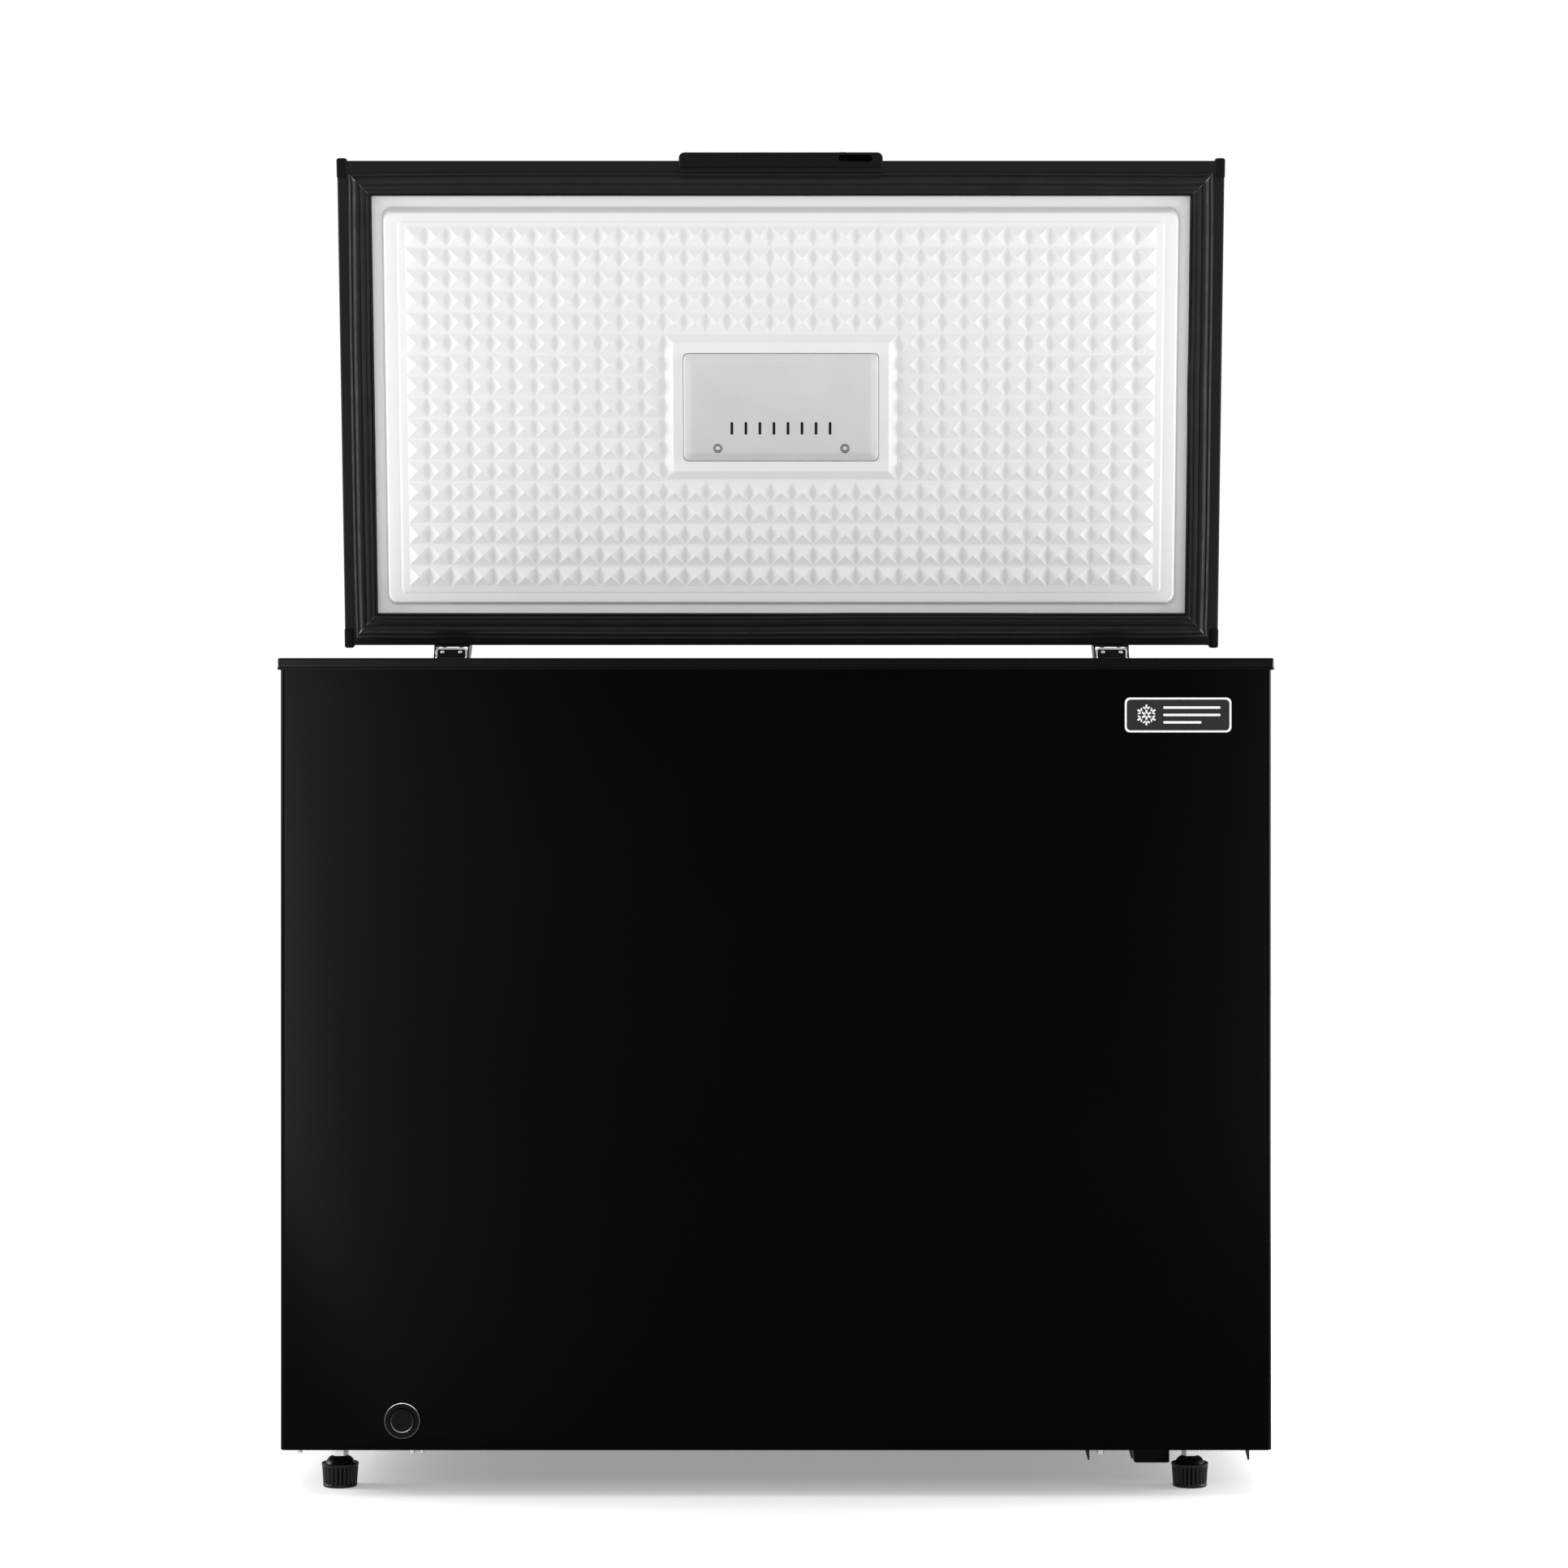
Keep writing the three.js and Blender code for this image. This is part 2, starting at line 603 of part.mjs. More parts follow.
// ---------------------------------------------------------------- feet
function foot(name, x, y, top) {
  const skirt = 23.5;
  const knob = upright([
    [0, 0], [KNOB_RADIUS - 2, 0], [KNOB_RADIUS, 2.5], [KNOB_RADIUS, skirt - 4],
    [KNOB_RADIUS - 3, skirt], [10, KNOB_TOP], [0, KNOB_TOP],
  ], 0, 0, 0, 16);
  const across = 14;
  const stem = upright(bar(across / Math.sqrt(3), 0, top - KNOB_TOP - GAP), 0, 0, 0, 6);
  piece(cabinet, `foot_knob_${name}`, knob, LOOK.blackPlastic, x, y);
  piece(cabinet, `foot_stem_${name}`, stem, LOOK.zinc, x, y, KNOB_TOP + GAP);
}

function feet() {
  for (const [row, y] of [['front', FOOT_FRONT_Y], ['rear', FOOT_BACK_Y]]) {
    foot(`${row}_left`, FOOT_LEFT_X, y, CABINET_BOTTOM - GAP);
    foot(`${row}_right`, FOOT_RIGHT_X, y, CABINET_BOTTOM - GAP);
  }
}

// ---------------------------------------------------------------- badge and cord gland
const BADGE = { x: 381, z: 741, half: 51, tall: 17, thick: 1.9 };

function badge() {
  const { x, z, half, tall, thick } = BADGE;
  return alongY(roundedOutline(x - half, x + half, z - tall, z + tall, 4),
    CABINET_FRONT - GAP - thick, CABINET_FRONT - GAP);
}

function cordGland() {
  return turnedAlongY([
    [4, GAP], [13, GAP], [13, 3], [8, 4], [7, 14], [4, 14], [4, GAP],
  ], 380, CABINET_BACK, 110, 20);
}

// ---------------------------------------------------------------- hinges
const HINGE_HALF = 18.9; // outside of the lid leaf's ears
const EAR = 1.6;
const BRACKET_HALF = HINGE_HALF - EAR - GAP;
const BRACKET_BOTTOM = 690;
const PIN_RADIUS = 3;
const SPRING_LOW = 705;
const PLUNGER_LOW = 766;

function pinHole(from, to) {
  return turnedAlongX(bar(PIN_RADIUS + GAP, from, to), 0, PIN_Y, PIN_Z, 16);
}

// Points of an arc round the hinge pin, as (Y, Z), from one angle to another in degrees.
function roundPin(radius, from, to) {
  const points = [];
  const stops = 6;
  for (let i = 0; i <= stops; i += 1) {
    const angle = THREE.MathUtils.degToRad(from + (to - from) * (i / stops));
    points.push([PIN_Y + radius * Math.cos(angle), PIN_Z + radius * Math.sin(angle)]);
  }
  return points;
}

function hingeBracket() {
  const face = CABINET_BACK + GAP;
  const clear = RIM_DEPTH + GAP;
  const under = RIM_TOP - RIM_FACE - GAP;
  const back = PIN_Y + 10;
  const cheek = outline([
    [face, BRACKET_BOTTOM], [back, BRACKET_BOTTOM], ...roundPin(10, 0, 180),
    [PIN_Y - 10, RIM_TOP], [clear, RIM_TOP - 4], [clear, under], [face, under],
  ]);
  const left = alongX(cheek, -BRACKET_HALF, -BRACKET_HALF + EAR);
  const right = alongX(cheek, BRACKET_HALF - EAR, BRACKET_HALF);
  const plate = box(-BRACKET_HALF, BRACKET_HALF, face, face + 2, BRACKET_BOTTOM, under);
  const seat = box(-BRACKET_HALF, BRACKET_HALF, face, back - 2, SPRING_LOW - 3, SPRING_LOW - GAP);
  return cut(join(plate, left, right, seat), pinHole(-40, 40));
}

function hingeLeaf() {
  const face = LID_BACK + GAP;
  const low = PIN_Z + 3;
  const high = LID_TOP - 6;
  const ear = outline([
    [face, high], [face, low], [PIN_Y - 8, PIN_Z - 2], ...roundPin(8, 190, 380),
    [face + 9, high],
  ]);
  const left = alongX(ear, -HINGE_HALF, -HINGE_HALF + EAR);
  const right = alongX(ear, HINGE_HALF - EAR, HINGE_HALF);
  const plate = box(-HINGE_HALF, HINGE_HALF, face, face + EAR, low, high);
  return cut(join(plate, left, right), pinHole(-40, 40));
}

function hingeCover() {
  const wall = 1.8;
  const half = HINGE_HALF - 0.2 + wall;
  const face = CABINET_BACK + GAP;
  const back = PIN_Y + 14;
  const low = BRACKET_BOTTOM - 4;
  const top = RIM_TOP - RIM_FACE - GAP;
  const room = half - wall;
  return cut(
    box(-half, half, face, back, low, top),
    box(-room, room, face - 1, back - wall, low + wall, top + 1),
  );
}

function hingePin() {
  const half = HINGE_HALF + 1.4;
  return turnedAlongX(bar(PIN_RADIUS, -half, half), 0, PIN_Y, PIN_Z, 16);
}

function hingePlunger() {
  const half = BRACKET_HALF - EAR - 1;
  const deep = 8;
  const tall = 28;
  return box(-half, half, PIN_Y - deep, PIN_Y + deep, PLUNGER_LOW, PLUNGER_LOW + tall);
}

function hingeSpring() {
  const turns = 6;
  const perTurn = 8;
  const radius = 6.5;
  const wire = 1.1;
  const low = SPRING_LOW + wire + GAP;
  const high = PLUNGER_LOW - wire - GAP;
  const points = [];
  for (let i = 0; i <= turns * perTurn; i += 1) {
    const angle = 2 * Math.PI * (i / perTurn);
    const z = low + (high - low) * (i / (turns * perTurn));
    points.push([radius * Math.cos(angle), PIN_Y + radius * Math.sin(angle), z]);
  }
  return tube(points, wire, 5);
}

function hinges() {
  for (const [side, x] of [['left', -HINGE_X], ['right', HINGE_X]]) {
    piece(cabinet, `hinge_bracket_${side}`, hingeBracket(), LOOK.zinc, x);
    piece(cabinet, `hinge_cover_${side}`, hingeCover(), LOOK.blackPlastic, x);
    piece(cabinet, `hinge_pin_${side}`, hingePin(), LOOK.zinc, x);
    piece(cabinet, `hinge_spring_${side}`, hingeSpring(), LOOK.spring, x);
    piece(cabinet, `hinge_plunger_${side}`, hingePlunger(), LOOK.blackPlastic, x);
    piece(lid, `hinge_leaf_${side}`, hingeLeaf(), LOOK.zinc, x);
  }
}

// ---------------------------------------------------------------- lid
const FLANGE = 12; // steel turned in under the lid
const CAP = { wide: 10.3, long: 21.6, tall: 14.8, proud: 2.4, below: 0.8 };
const PLATEAU = { x: 420, front: 57.8, rear: 50, drop: 11 };
const FIELD = { x: 401.5, front: 69, rear: 64.5 };
const FIELD_RISE = 4;
const LAMP = { x: 104, y0: LID_BACK - 315.1, y1: LID_BACK - 201 };
const LAMP_FRAME = { x: 124.2, y0: LID_BACK - 335.5, y1: LID_BACK - 180.5 };
const LAMP_ROOM = { x: 90, inset: 10, top: LID_BOTTOM + 6 }; // hollow in the foam
const PLATEAU_Z = LID_BOTTOM - PLATEAU.drop;
const LAMP_FRAME_Z = PLATEAU_Z - 5;
const LINER_WALL = 2;

// Room for the four corner caps, from under the lid up.
function cornerRooms(grow) {
  const rooms = [];
  const past = 9;
  const low = LID_BOTTOM - past;
  const top = LID_BOTTOM - CAP.below + CAP.tall + grow;
  const capFront = LID_FRONT - CAP.proud + CAP.long + grow;
  const capBack = LID_BACK + CAP.proud - CAP.long - grow;
  for (const sx of [-1, 1]) {
    const inner = sx * (LID_X - CAP.wide - grow);
    const outer = sx * (LID_X + grow + 1);
    const [x0, x1] = [Math.min(inner, outer), Math.max(inner, outer)];
    rooms.push(box(x0, x1, LID_FRONT - past, capFront, low, top));
    rooms.push(box(x0, x1, capBack, LID_BACK + past, low, top));
  }
  return rooms;
}

function lidOuterPanel() {
  const inset = (d, z0, z1) => box(-LID_X + d, LID_X - d, LID_FRONT + d, LID_BACK - d, z0, z1);
  const pan = inset(0, LID_BOTTOM, LID_TOP);
  const inside = inset(SHEET, LID_BOTTOM + SHEET, LID_TOP - SHEET);
  const window = inset(FLANGE, LID_BOTTOM - 1, LID_BOTTOM + 2 * SHEET);
  return cut(pan, inside, window, ...cornerRooms(GAP));
}

function lidFoam() {
  const d = SHEET + GAP;
  const w = LINER_WALL + GAP;
  const block = box(-LID_X + d, LID_X - d, LID_FRONT + d, LID_BACK - d, LID_BOTTOM + d, LID_TOP - d);
  const plug = box(-PLATEAU.x + w, PLATEAU.x - w, LID_FRONT + PLATEAU.front + w,
    LID_BACK - PLATEAU.rear - w, PLATEAU_Z + w, LID_BOTTOM + 5);
  const pocket = box(-LAMP_ROOM.x, LAMP_ROOM.x, LAMP.y0 + LAMP_ROOM.inset,
    LAMP.y1 - LAMP_ROOM.inset, PLATEAU_Z - 5, LAMP_ROOM.top);
  return cut(join(block, plug), pocket, ...cornerRooms(GAP * 2));
}

function lidLiner() {
  const edge = FLANGE + GAP;
  const border = box(-LID_X + edge, LID_X - edge, LID_FRONT + edge, LID_BACK - edge,
    LID_BOTTOM - 1, LID_BOTTOM + 0.9);
  const y0 = LID_FRONT + PLATEAU.front;
  const y1 = LID_BACK - PLATEAU.rear;
  const plateau = slab(-PLATEAU.x, PLATEAU.x, y0, y1, PLATEAU_Z, LID_BOTTOM, 8);
  const field = box(-FIELD.x, FIELD.x, LID_FRONT + FIELD.front, LID_BACK - FIELD.rear,
    PLATEAU_Z - FIELD_RISE, PLATEAU_Z + 1);
  const frame = box(-LAMP_FRAME.x, LAMP_FRAME.x, LAMP_FRAME.y0, LAMP_FRAME.y1,
    LAMP_FRAME_Z, PLATEAU_Z + 1);
  const w = LINER_WALL;
  const hollow = box(-PLATEAU.x + w, PLATEAU.x - w, y0 + w, y1 - w, PLATEAU_Z + w, LID_BOTTOM + 5);
  const lampX = LAMP_ROOM.x + 2;
  const lampEdge = LAMP_ROOM.inset - 2;
  const lampHole = box(-lampX, lampX, LAMP.y0 + lampEdge, LAMP.y1 - lampEdge,
    LAMP_FRAME_Z - 5, PLATEAU_Z + 5);
  return cut(join(border, plateau, field, frame), hollow, lampHole);
}

function lidGasket() {
  const outer = { x: 461.5, y0: LID_FRONT + 12.4, y1: LID_BACK - 8.1 };
  const inner = { x: 436.3, y0: LID_FRONT + 37.4, y1: LID_BACK - 35.5 };
  const ring = roundedOutline(-outer.x, outer.x, outer.y0, outer.y1, 2);
  ring.holes.push(roundedOutline(-inner.x, inner.x, inner.y0, inner.y1, 2));
  const base = alongZ(ring, LID_BOTTOM - 4, LID_BOTTOM - 1 - GAP, 2);
  const [outside, within] = [2, 3]; // the lip is narrower than the base
  const lip = roundedOutline(-outer.x + outside, outer.x - outside, outer.y0 + outside,
    outer.y1 - outside, 2);
  lip.holes.push(roundedOutline(-inner.x - within, inner.x + within, inner.y0 - within,
    inner.y1 + within, 2));
  return join(base, alongZ(lip, RIM_TOP + 0.7, LID_BOTTOM - 3.5, 2));
}

function lidCorners() {
  for (const [row, back] of [['front', false], ['rear', true]]) {
    for (const [side, sx] of [['left', -1], ['right', 1]]) {
      const y0 = back ? LID_BACK + CAP.proud - CAP.long : LID_FRONT - CAP.proud;
      const z0 = LID_BOTTOM - CAP.below;
      const xs = [sx * LID_X, sx * (LID_X - CAP.wide)].sort((a, b) => a - b);
      piece(lid, `lid_corner_${row}_${side}`,
        slab(xs[0], xs[1], y0, y0 + CAP.long, z0, z0 + CAP.tall, 2), LOOK.blackPlastic);
    }
  }
}

const HANDLE = {
  half: 108.5, front: LID_FRONT - 8.4, under: LID_FRONT + 7.3, low: LID_BOTTOM - 6, high: 845,
};
const LOCK_Z = LID_BOTTOM + 18;
const BARREL_RADIUS = 7;

function lidHandle() {
  const { half, front, under, low, high } = HANDLE;
  const skin = LID_FRONT - GAP;
  const body = alongX(outline([
    [front, low + 2], [front + 2, low], [under, low], [under, LID_BOTTOM - GAP * 2],
    [skin, LID_BOTTOM - GAP * 2], [skin, high], [front + 4, high], [front, high - 6],
  ]), -half, half);
  const wall = 2;
  const hollow = box(-half + wall, half - wall, front + wall, skin + 1, low + wall, high - wall);
  const keep = box(-half, half, skin - 0.01, under + 1, low - 1, LID_BOTTOM);
  const slot = box(LOCK_SLOT.x0, LOCK_SLOT.x1, skin - 4.7, skin, low - 1, low + wall + 1);
  const keyHole = turnedAlongY(bar(BARREL_RADIUS + GAP, -9, 3), LOCK_X, front, LOCK_Z, 20);
  return cut(body, cut(hollow, keep), slot, keyHole);
}

function lockCylinder() {
  const length = LID_FRONT - GAP - HANDLE.front - 2 - GAP;
  const barrel = turnedAlongY(bar(BARREL_RADIUS, -0.7, length), LOCK_X, HANDLE.front, LOCK_Z, 20);
  const key = box(LOCK_X - 0.8, LOCK_X + 0.8, HANDLE.front - 2, HANDLE.front + 2, LOCK_Z - 4, LOCK_Z + 4);
  return cut(barrel, key);
}

function lockCam() {
  const back = LID_FRONT - GAP * 2;
  const half = CAM_WIDTH / 2;
  const thick = 1.6;
  const shape = roundedOutline(LOCK_X - half, LOCK_X + CAM_LENGTH, LOCK_Z - half, LOCK_Z + half,
    half - 0.1);
  return alongY(shape, back - thick, back, 3);
}

function lampCover() {
  const { x, y0, y1 } = LAMP;
  const top = LAMP_FRAME_Z - GAP;
  const low = top - 4;
  const edge = 3; // stepped border round the cover
  const wall = 5;
  const shell = join(
    slab(-x, x, y0, y1, low + 1.5, top, 5),
    slab(-x + edge, x - edge, y0 + edge, y1 - edge, low, top, 4),
  );
  const hollow = box(-x + wall, x - wall, y0 + wall, y1 - wall, low + 1.6, top + 1);
  const slots = [];
  const count = 8;
  const pitch = 15;
  const half = 1.5;
  const slotFront = y1 - 41.7;
  const slotBack = y1 - 28;
  for (let i = 0; i < count; i += 1) {
    const at = (i - (count - 1) / 2) * pitch;
    slots.push(box(at - half, at + half, slotFront, slotBack, low - 1, top + 1));
  }
  return cut(shell, hollow, ...slots);
}

function lampBoard() {
  const z = LAMP_ROOM.top - GAP;
  const lamps = [];
  const pitch = 28;
  const half = 2.5;
  const middle = LAMP.y0 + 54.5;
  for (let i = -2; i <= 2; i += 1) {
    const x = i * pitch;
    lamps.push(box(x - half, x + half, middle - half, middle + half, z - 3.4, z - 1));
  }
  return join(box(-80, 80, middle - 19.5, middle + 20.5, z - 1.6, z), ...lamps);
}

// ---------------------------------------------------------------- storage basket
function storageBasket() {
  const x1 = TUB_X - 10;
  const x0 = x1 - BASKET_WIDTH;
  const y0 = TUB_FRONT + 3;
  const y1 = TUB_BACK - 3;
  const high = LEDGE_Z + GAP;
  const low = high - BASKET_HEIGHT;
  const wall = 3;
  const hook = 7; // reach of the two rests over the tub's flange
  const top = high + 3.5;
  const corner = 18;
  const bowl = slab(x0, x1, y0, y1, low, top, corner);
  const rest = box(x0 + corner + 2, x1 - corner - 2, y0 - hook, y1 + hook, high, top);
  const inside = slab(x0 + wall, x1 - wall, y0 + wall, y1 - wall, low + wall, top + 1, corner - wall);
  return cut(join(bowl, rest), inside);
}

// ---------------------------------------------------------------- assembly
piece(cabinet, 'outer_wrap', outerWrap(), LOOK.blackPaint);
piece(cabinet, 'back_panel', backPanel(), LOOK.darkSteel);
piece(cabinet, 'base_pan', basePan(), LOOK.darkSteel);
piece(cabinet, 'foam_insulation', foamInsulation(), LOOK.foam);
piece(cabinet, 'inner_liner', innerLiner(), LOOK.whiteLiner);
rim();
piece(cabinet, 'evaporator_tube', evaporatorTube(), LOOK.aluminium);
piece(cabinet, 'condenser_tube', condenserTube(), LOOK.copper);
piece(cabinet, 'compressor_tray', compressorTray(), LOOK.darkSteel);
piece(cabinet, 'compressor_shell', compressorShell(), LOOK.blackPaint, COMPRESSOR.x, COMPRESSOR.y);
piece(cabinet, 'terminal_cover', terminalCover(), LOOK.blackPlastic);
piece(cabinet, 'suction_line', suctionLine(), LOOK.copper);
piece(cabinet, 'discharge_line', dischargeLine(), LOOK.copper);
piece(cabinet, 'side_vent_grille', sideVentGrille(), LOOK.blackPlastic);
piece(cabinet, 'thermostat_body', thermostatBody(), LOOK.grayPlastic);
piece(cabinet, 'thermostat_knob', thermostatKnob(), LOOK.blackPlastic);
piece(cabinet, 'drain_tube', drainTube(), LOOK.grayPlastic);
piece(cabinet, 'drain_socket', drainSocket(), LOOK.blackPlastic);
piece(cabinet, 'drain_stem', drainStem(), LOOK.blackPlastic);
piece(cabinet, 'drain_dial', drainDial(), LOOK.blackPlastic);
piece(cabinet, 'drain_plug', drainPlug(), LOOK.grayPlastic);
feet();
piece(cabinet, 'badge', badge(), LOOK.darkSteel);
piece(cabinet, 'cord_gland', cordGland(), LOOK.blackPlastic);
hinges();
piece(lid, 'lid_outer_panel', lidOuterPanel(), LOOK.blackPaint);
piece(lid, 'lid_foam', lidFoam(), LOOK.foam);
piece(lid, 'lid_liner', lidLiner(), LOOK.whiteLiner);
piece(lid, 'lid_gasket', lidGasket(), LOOK.seal);
lidCorners();
piece(lid, 'lid_handle', lidHandle(), LOOK.blackPlastic);
piece(lid, 'lock_cylinder', lockCylinder(), LOOK.zinc);
piece(lid, 'lock_cam', lockCam(), LOOK.zinc);
piece(lid, 'lamp_cover', lampCover(), LOOK.grayPlastic);
piece(lid, 'lamp_board', lampBoard(), LOOK.board);
piece(cabinet, 'storage_basket', storageBasket(), LOOK.grayPlastic);

// The drain's dial is the foremost point, and the open lid's rear top edge the rearmost.
const foremost = CABINET_FRONT - DIAL_OUT;
const rearmost = PIN_Y - PIN_BEHIND * Math.cos(OPEN_ANGLE)
  + (LID_HEIGHT - PIN_ABOVE) * Math.sin(OPEN_ANGLE);
freezer.position.y = -(foremost + rearmost) / 2;

export default freezer;
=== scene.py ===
"""The looks of a chest freezer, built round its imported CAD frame. Metres, Z up."""

import json
import math
import random
from collections import namedtuple

import bmesh
import bpy
from mathutils import Matrix, Vector

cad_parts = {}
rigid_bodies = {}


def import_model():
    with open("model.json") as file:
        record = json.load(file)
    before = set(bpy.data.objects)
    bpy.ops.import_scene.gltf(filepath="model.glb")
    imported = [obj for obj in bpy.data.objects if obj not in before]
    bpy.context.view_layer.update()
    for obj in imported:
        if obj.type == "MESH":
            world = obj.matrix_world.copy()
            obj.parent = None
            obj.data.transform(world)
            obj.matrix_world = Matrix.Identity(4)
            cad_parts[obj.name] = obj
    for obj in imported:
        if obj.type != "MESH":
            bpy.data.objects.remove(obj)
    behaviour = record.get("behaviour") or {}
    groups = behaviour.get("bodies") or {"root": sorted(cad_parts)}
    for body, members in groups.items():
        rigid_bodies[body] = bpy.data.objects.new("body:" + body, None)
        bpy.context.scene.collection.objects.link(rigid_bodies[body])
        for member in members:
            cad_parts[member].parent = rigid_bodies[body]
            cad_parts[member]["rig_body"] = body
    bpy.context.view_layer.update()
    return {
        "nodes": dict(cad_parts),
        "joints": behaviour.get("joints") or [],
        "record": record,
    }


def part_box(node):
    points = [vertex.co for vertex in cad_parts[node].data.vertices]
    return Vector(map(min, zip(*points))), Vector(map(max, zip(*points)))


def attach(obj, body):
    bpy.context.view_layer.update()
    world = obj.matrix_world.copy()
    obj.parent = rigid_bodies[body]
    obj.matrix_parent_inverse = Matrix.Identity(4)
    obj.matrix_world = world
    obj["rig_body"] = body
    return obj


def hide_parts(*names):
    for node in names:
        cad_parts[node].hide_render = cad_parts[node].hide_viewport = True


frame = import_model()
nodes = frame["nodes"]
MM = 0.001

RIM_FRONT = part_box("rim_front")[0].y  # Y of the rim's front face

# ---------------------------------------------------------------- camera
CAMERA_OFF = 3.745  # in front of the rim's face
CAMERA_X = 0.0423
CAMERA_Z = 0.6756
IMAGE_SIDE = 1932
AXIS_RIGHT = 45 / IMAGE_SIDE  # optical axis right of the picture's middle, in picture widths
camera_data = bpy.data.cameras.new("camera")
camera_data.sensor_width = 36
camera_data.lens = 90.8
camera_data.shift_x = -AXIS_RIGHT
camera = bpy.data.objects.new("camera", camera_data)
camera.location = (CAMERA_X, RIM_FRONT - CAMERA_OFF, CAMERA_Z)
camera.rotation_euler = (math.radians(90), 0, 0)
bpy.context.scene.collection.objects.link(camera)
bpy.context.scene.camera = camera


# ---------------------------------------------------------------- materials
def new_material(name, base, roughness, metallic=0.0, specular=0.5, coat=0.0):
    """A Principled material with its constants on the shader's own sockets."""
    material = bpy.data.materials.new(name)
    material.use_nodes = True
    shader = material.node_tree.nodes["Principled BSDF"]
    shader.inputs["Base Color"].default_value = (*base, 1)
    shader.inputs["Roughness"].default_value = roughness
    shader.inputs["Metallic"].default_value = metallic
    shader.inputs["Specular IOR Level"].default_value = specular
    shader.inputs["Coat Weight"].default_value = coat
    return material


def noise(tree, scale, detail=4.0, stretch=(1, 1, 1)):
    """A noise texture in object space, stretched along the axes as asked."""
    place = tree.nodes.new("ShaderNodeTexCoord")
    mapping = tree.nodes.new("ShaderNodeMapping")
    mapping.inputs["Scale"].default_value = stretch
    texture = tree.nodes.new("ShaderNodeTexNoise")
    texture.inputs["Scale"].default_value = scale
    texture.inputs["Detail"].default_value = detail
    tree.links.new(place.outputs["Object"], mapping.inputs["Vector"])
    tree.links.new(mapping.outputs["Vector"], texture.inputs["Vector"])
    return texture


def vary(material, socket, low, high, scale, stretch=(1, 1, 1)):
    """Drives a shader input between two values, or two colours, by a noise."""
    tree = material.node_tree
    shader = tree.nodes["Principled BSDF"]
    texture = noise(tree, scale, stretch=stretch)
    ramp = tree.nodes.new("ShaderNodeValToRGB")
    ramp.color_ramp.elements[0].position = 0.3
    ramp.color_ramp.elements[1].position = 0.7
    for element, value in zip(ramp.color_ramp.elements, (low, high)):
        element.color = (*value, 1) if isinstance(value, tuple) else (value, value, value, 1)
    tree.links.new(texture.outputs["Fac"], ramp.inputs["Fac"])
    tree.links.new(ramp.outputs["Color"], shader.inputs[socket])
    return material


def bump(material, scale, distance, strength=0.5, stretch=(1, 1, 1), detail=4.0):
    """Adds a fine relief to a material, from a noise."""
    tree = material.node_tree
    shader = tree.nodes["Principled BSDF"]
    texture = noise(tree, scale, detail, stretch)
    relief = tree.nodes.new("ShaderNodeBump")
    relief.inputs["Strength"].default_value = strength
    relief.inputs["Distance"].default_value = distance
    tree.links.new(texture.outputs["Fac"], relief.inputs["Height"])
    previous = shader.inputs["Normal"].links
    if previous:
        tree.links.new(previous[0].from_socket, relief.inputs["Normal"])
    tree.links.new(relief.outputs["Normal"], shader.inputs["Normal"])
    return material


LOOKS = {}


def look(name, base, roughness, grain, tones=(), gloss=(), stretch=(1, 1, 1), **kind):
    """A look with a fine relief, its colour and gloss varied where ranges are given."""
    material = new_material(name, base, roughness, **kind)
    if tones:
        vary(material, "Base Color", *tones)
    if gloss:
        vary(material, "Roughness", *gloss)
    if grain:
        bump(material, *grain, stretch=stretch)
    LOOKS[name] = material


def metal(name, base, light, roughness):
    """A bare bright metal, drawn along Z."""
    look(name, base, roughness, (900, 0.00003, 0.3), (base, light, 50),
         (roughness - 0.05, roughness + 0.12, 90), stretch=(6, 6, 1), metallic=1.0)


# Paints.
look("black_paint", (0.0006, 0.0006, 0.0007), 0.34, (900, 0.00004, 0.25),
     ((0.0005, 0.0005, 0.0006), (0.0007, 0.0007, 0.0008), 3), (0.3, 0.335, 5), specular=0.014)
look("lid_paint", (0.0055, 0.0055, 0.0058), 0.4, (900, 0.00004, 0.25),
     ((0.0052, 0.0052, 0.0055), (0.006, 0.006, 0.0063), 8), (0.39, 0.42, 14), specular=0.12)
look("badge_face", (0.024, 0.024, 0.026), 0.35, (2400, 0.00002, 0.3),
     ((0.022, 0.022, 0.024), (0.027, 0.027, 0.029), 60), specular=0.1)
look("white_mark", (0.86, 0.86, 0.86), 0.4, (2000, 0.00001, 0.2), gloss=(0.35, 0.48, 90))

# Plastics and rubber.
look("black_plastic", (0.003, 0.003, 0.0032), 0.42, (1400, 0.00005, 0.35),
     ((0.0025, 0.0025, 0.0027), (0.0038, 0.0038, 0.004), 12), (0.38, 0.5, 30), specular=0.08)
look("rim_plastic", (0.0013, 0.0013, 0.0014), 0.36, (1200, 0.00004, 0.3),
     ((0.0011, 0.0011, 0.0012), (0.0017, 0.0017, 0.0018), 9), (0.34, 0.46, 26), specular=0.035)
look("gloss_plastic", (0.003, 0.003, 0.0032), 0.22, (900, 0.00002, 0.3), gloss=(0.2, 0.32, 60))
look("foot_plastic", (0.0025, 0.0025, 0.0027), 0.34, (1400, 0.00005, 0.35),
     gloss=(0.28, 0.42, 120), specular=0.22)
# Painted shade: a near-black look for the floor of the handle's slot.
look("slot_shadow", (0.0008, 0.0008, 0.0009), 0.9, (700, 0.00004, 0.3), specular=0.02)
look("white_liner", (0.74, 0.742, 0.75), 0.36, (700, 0.00003, 0.2),
     ((0.735, 0.737, 0.745), (0.75, 0.75, 0.758), 6), (0.3, 0.42, 14), specular=0.3)
look("lamp_plastic", (0.62, 0.63, 0.655), 0.35, (1600, 0.00003, 0.3),
     ((0.60, 0.61, 0.635), (0.64, 0.65, 0.675), 18), (0.3, 0.42, 40))
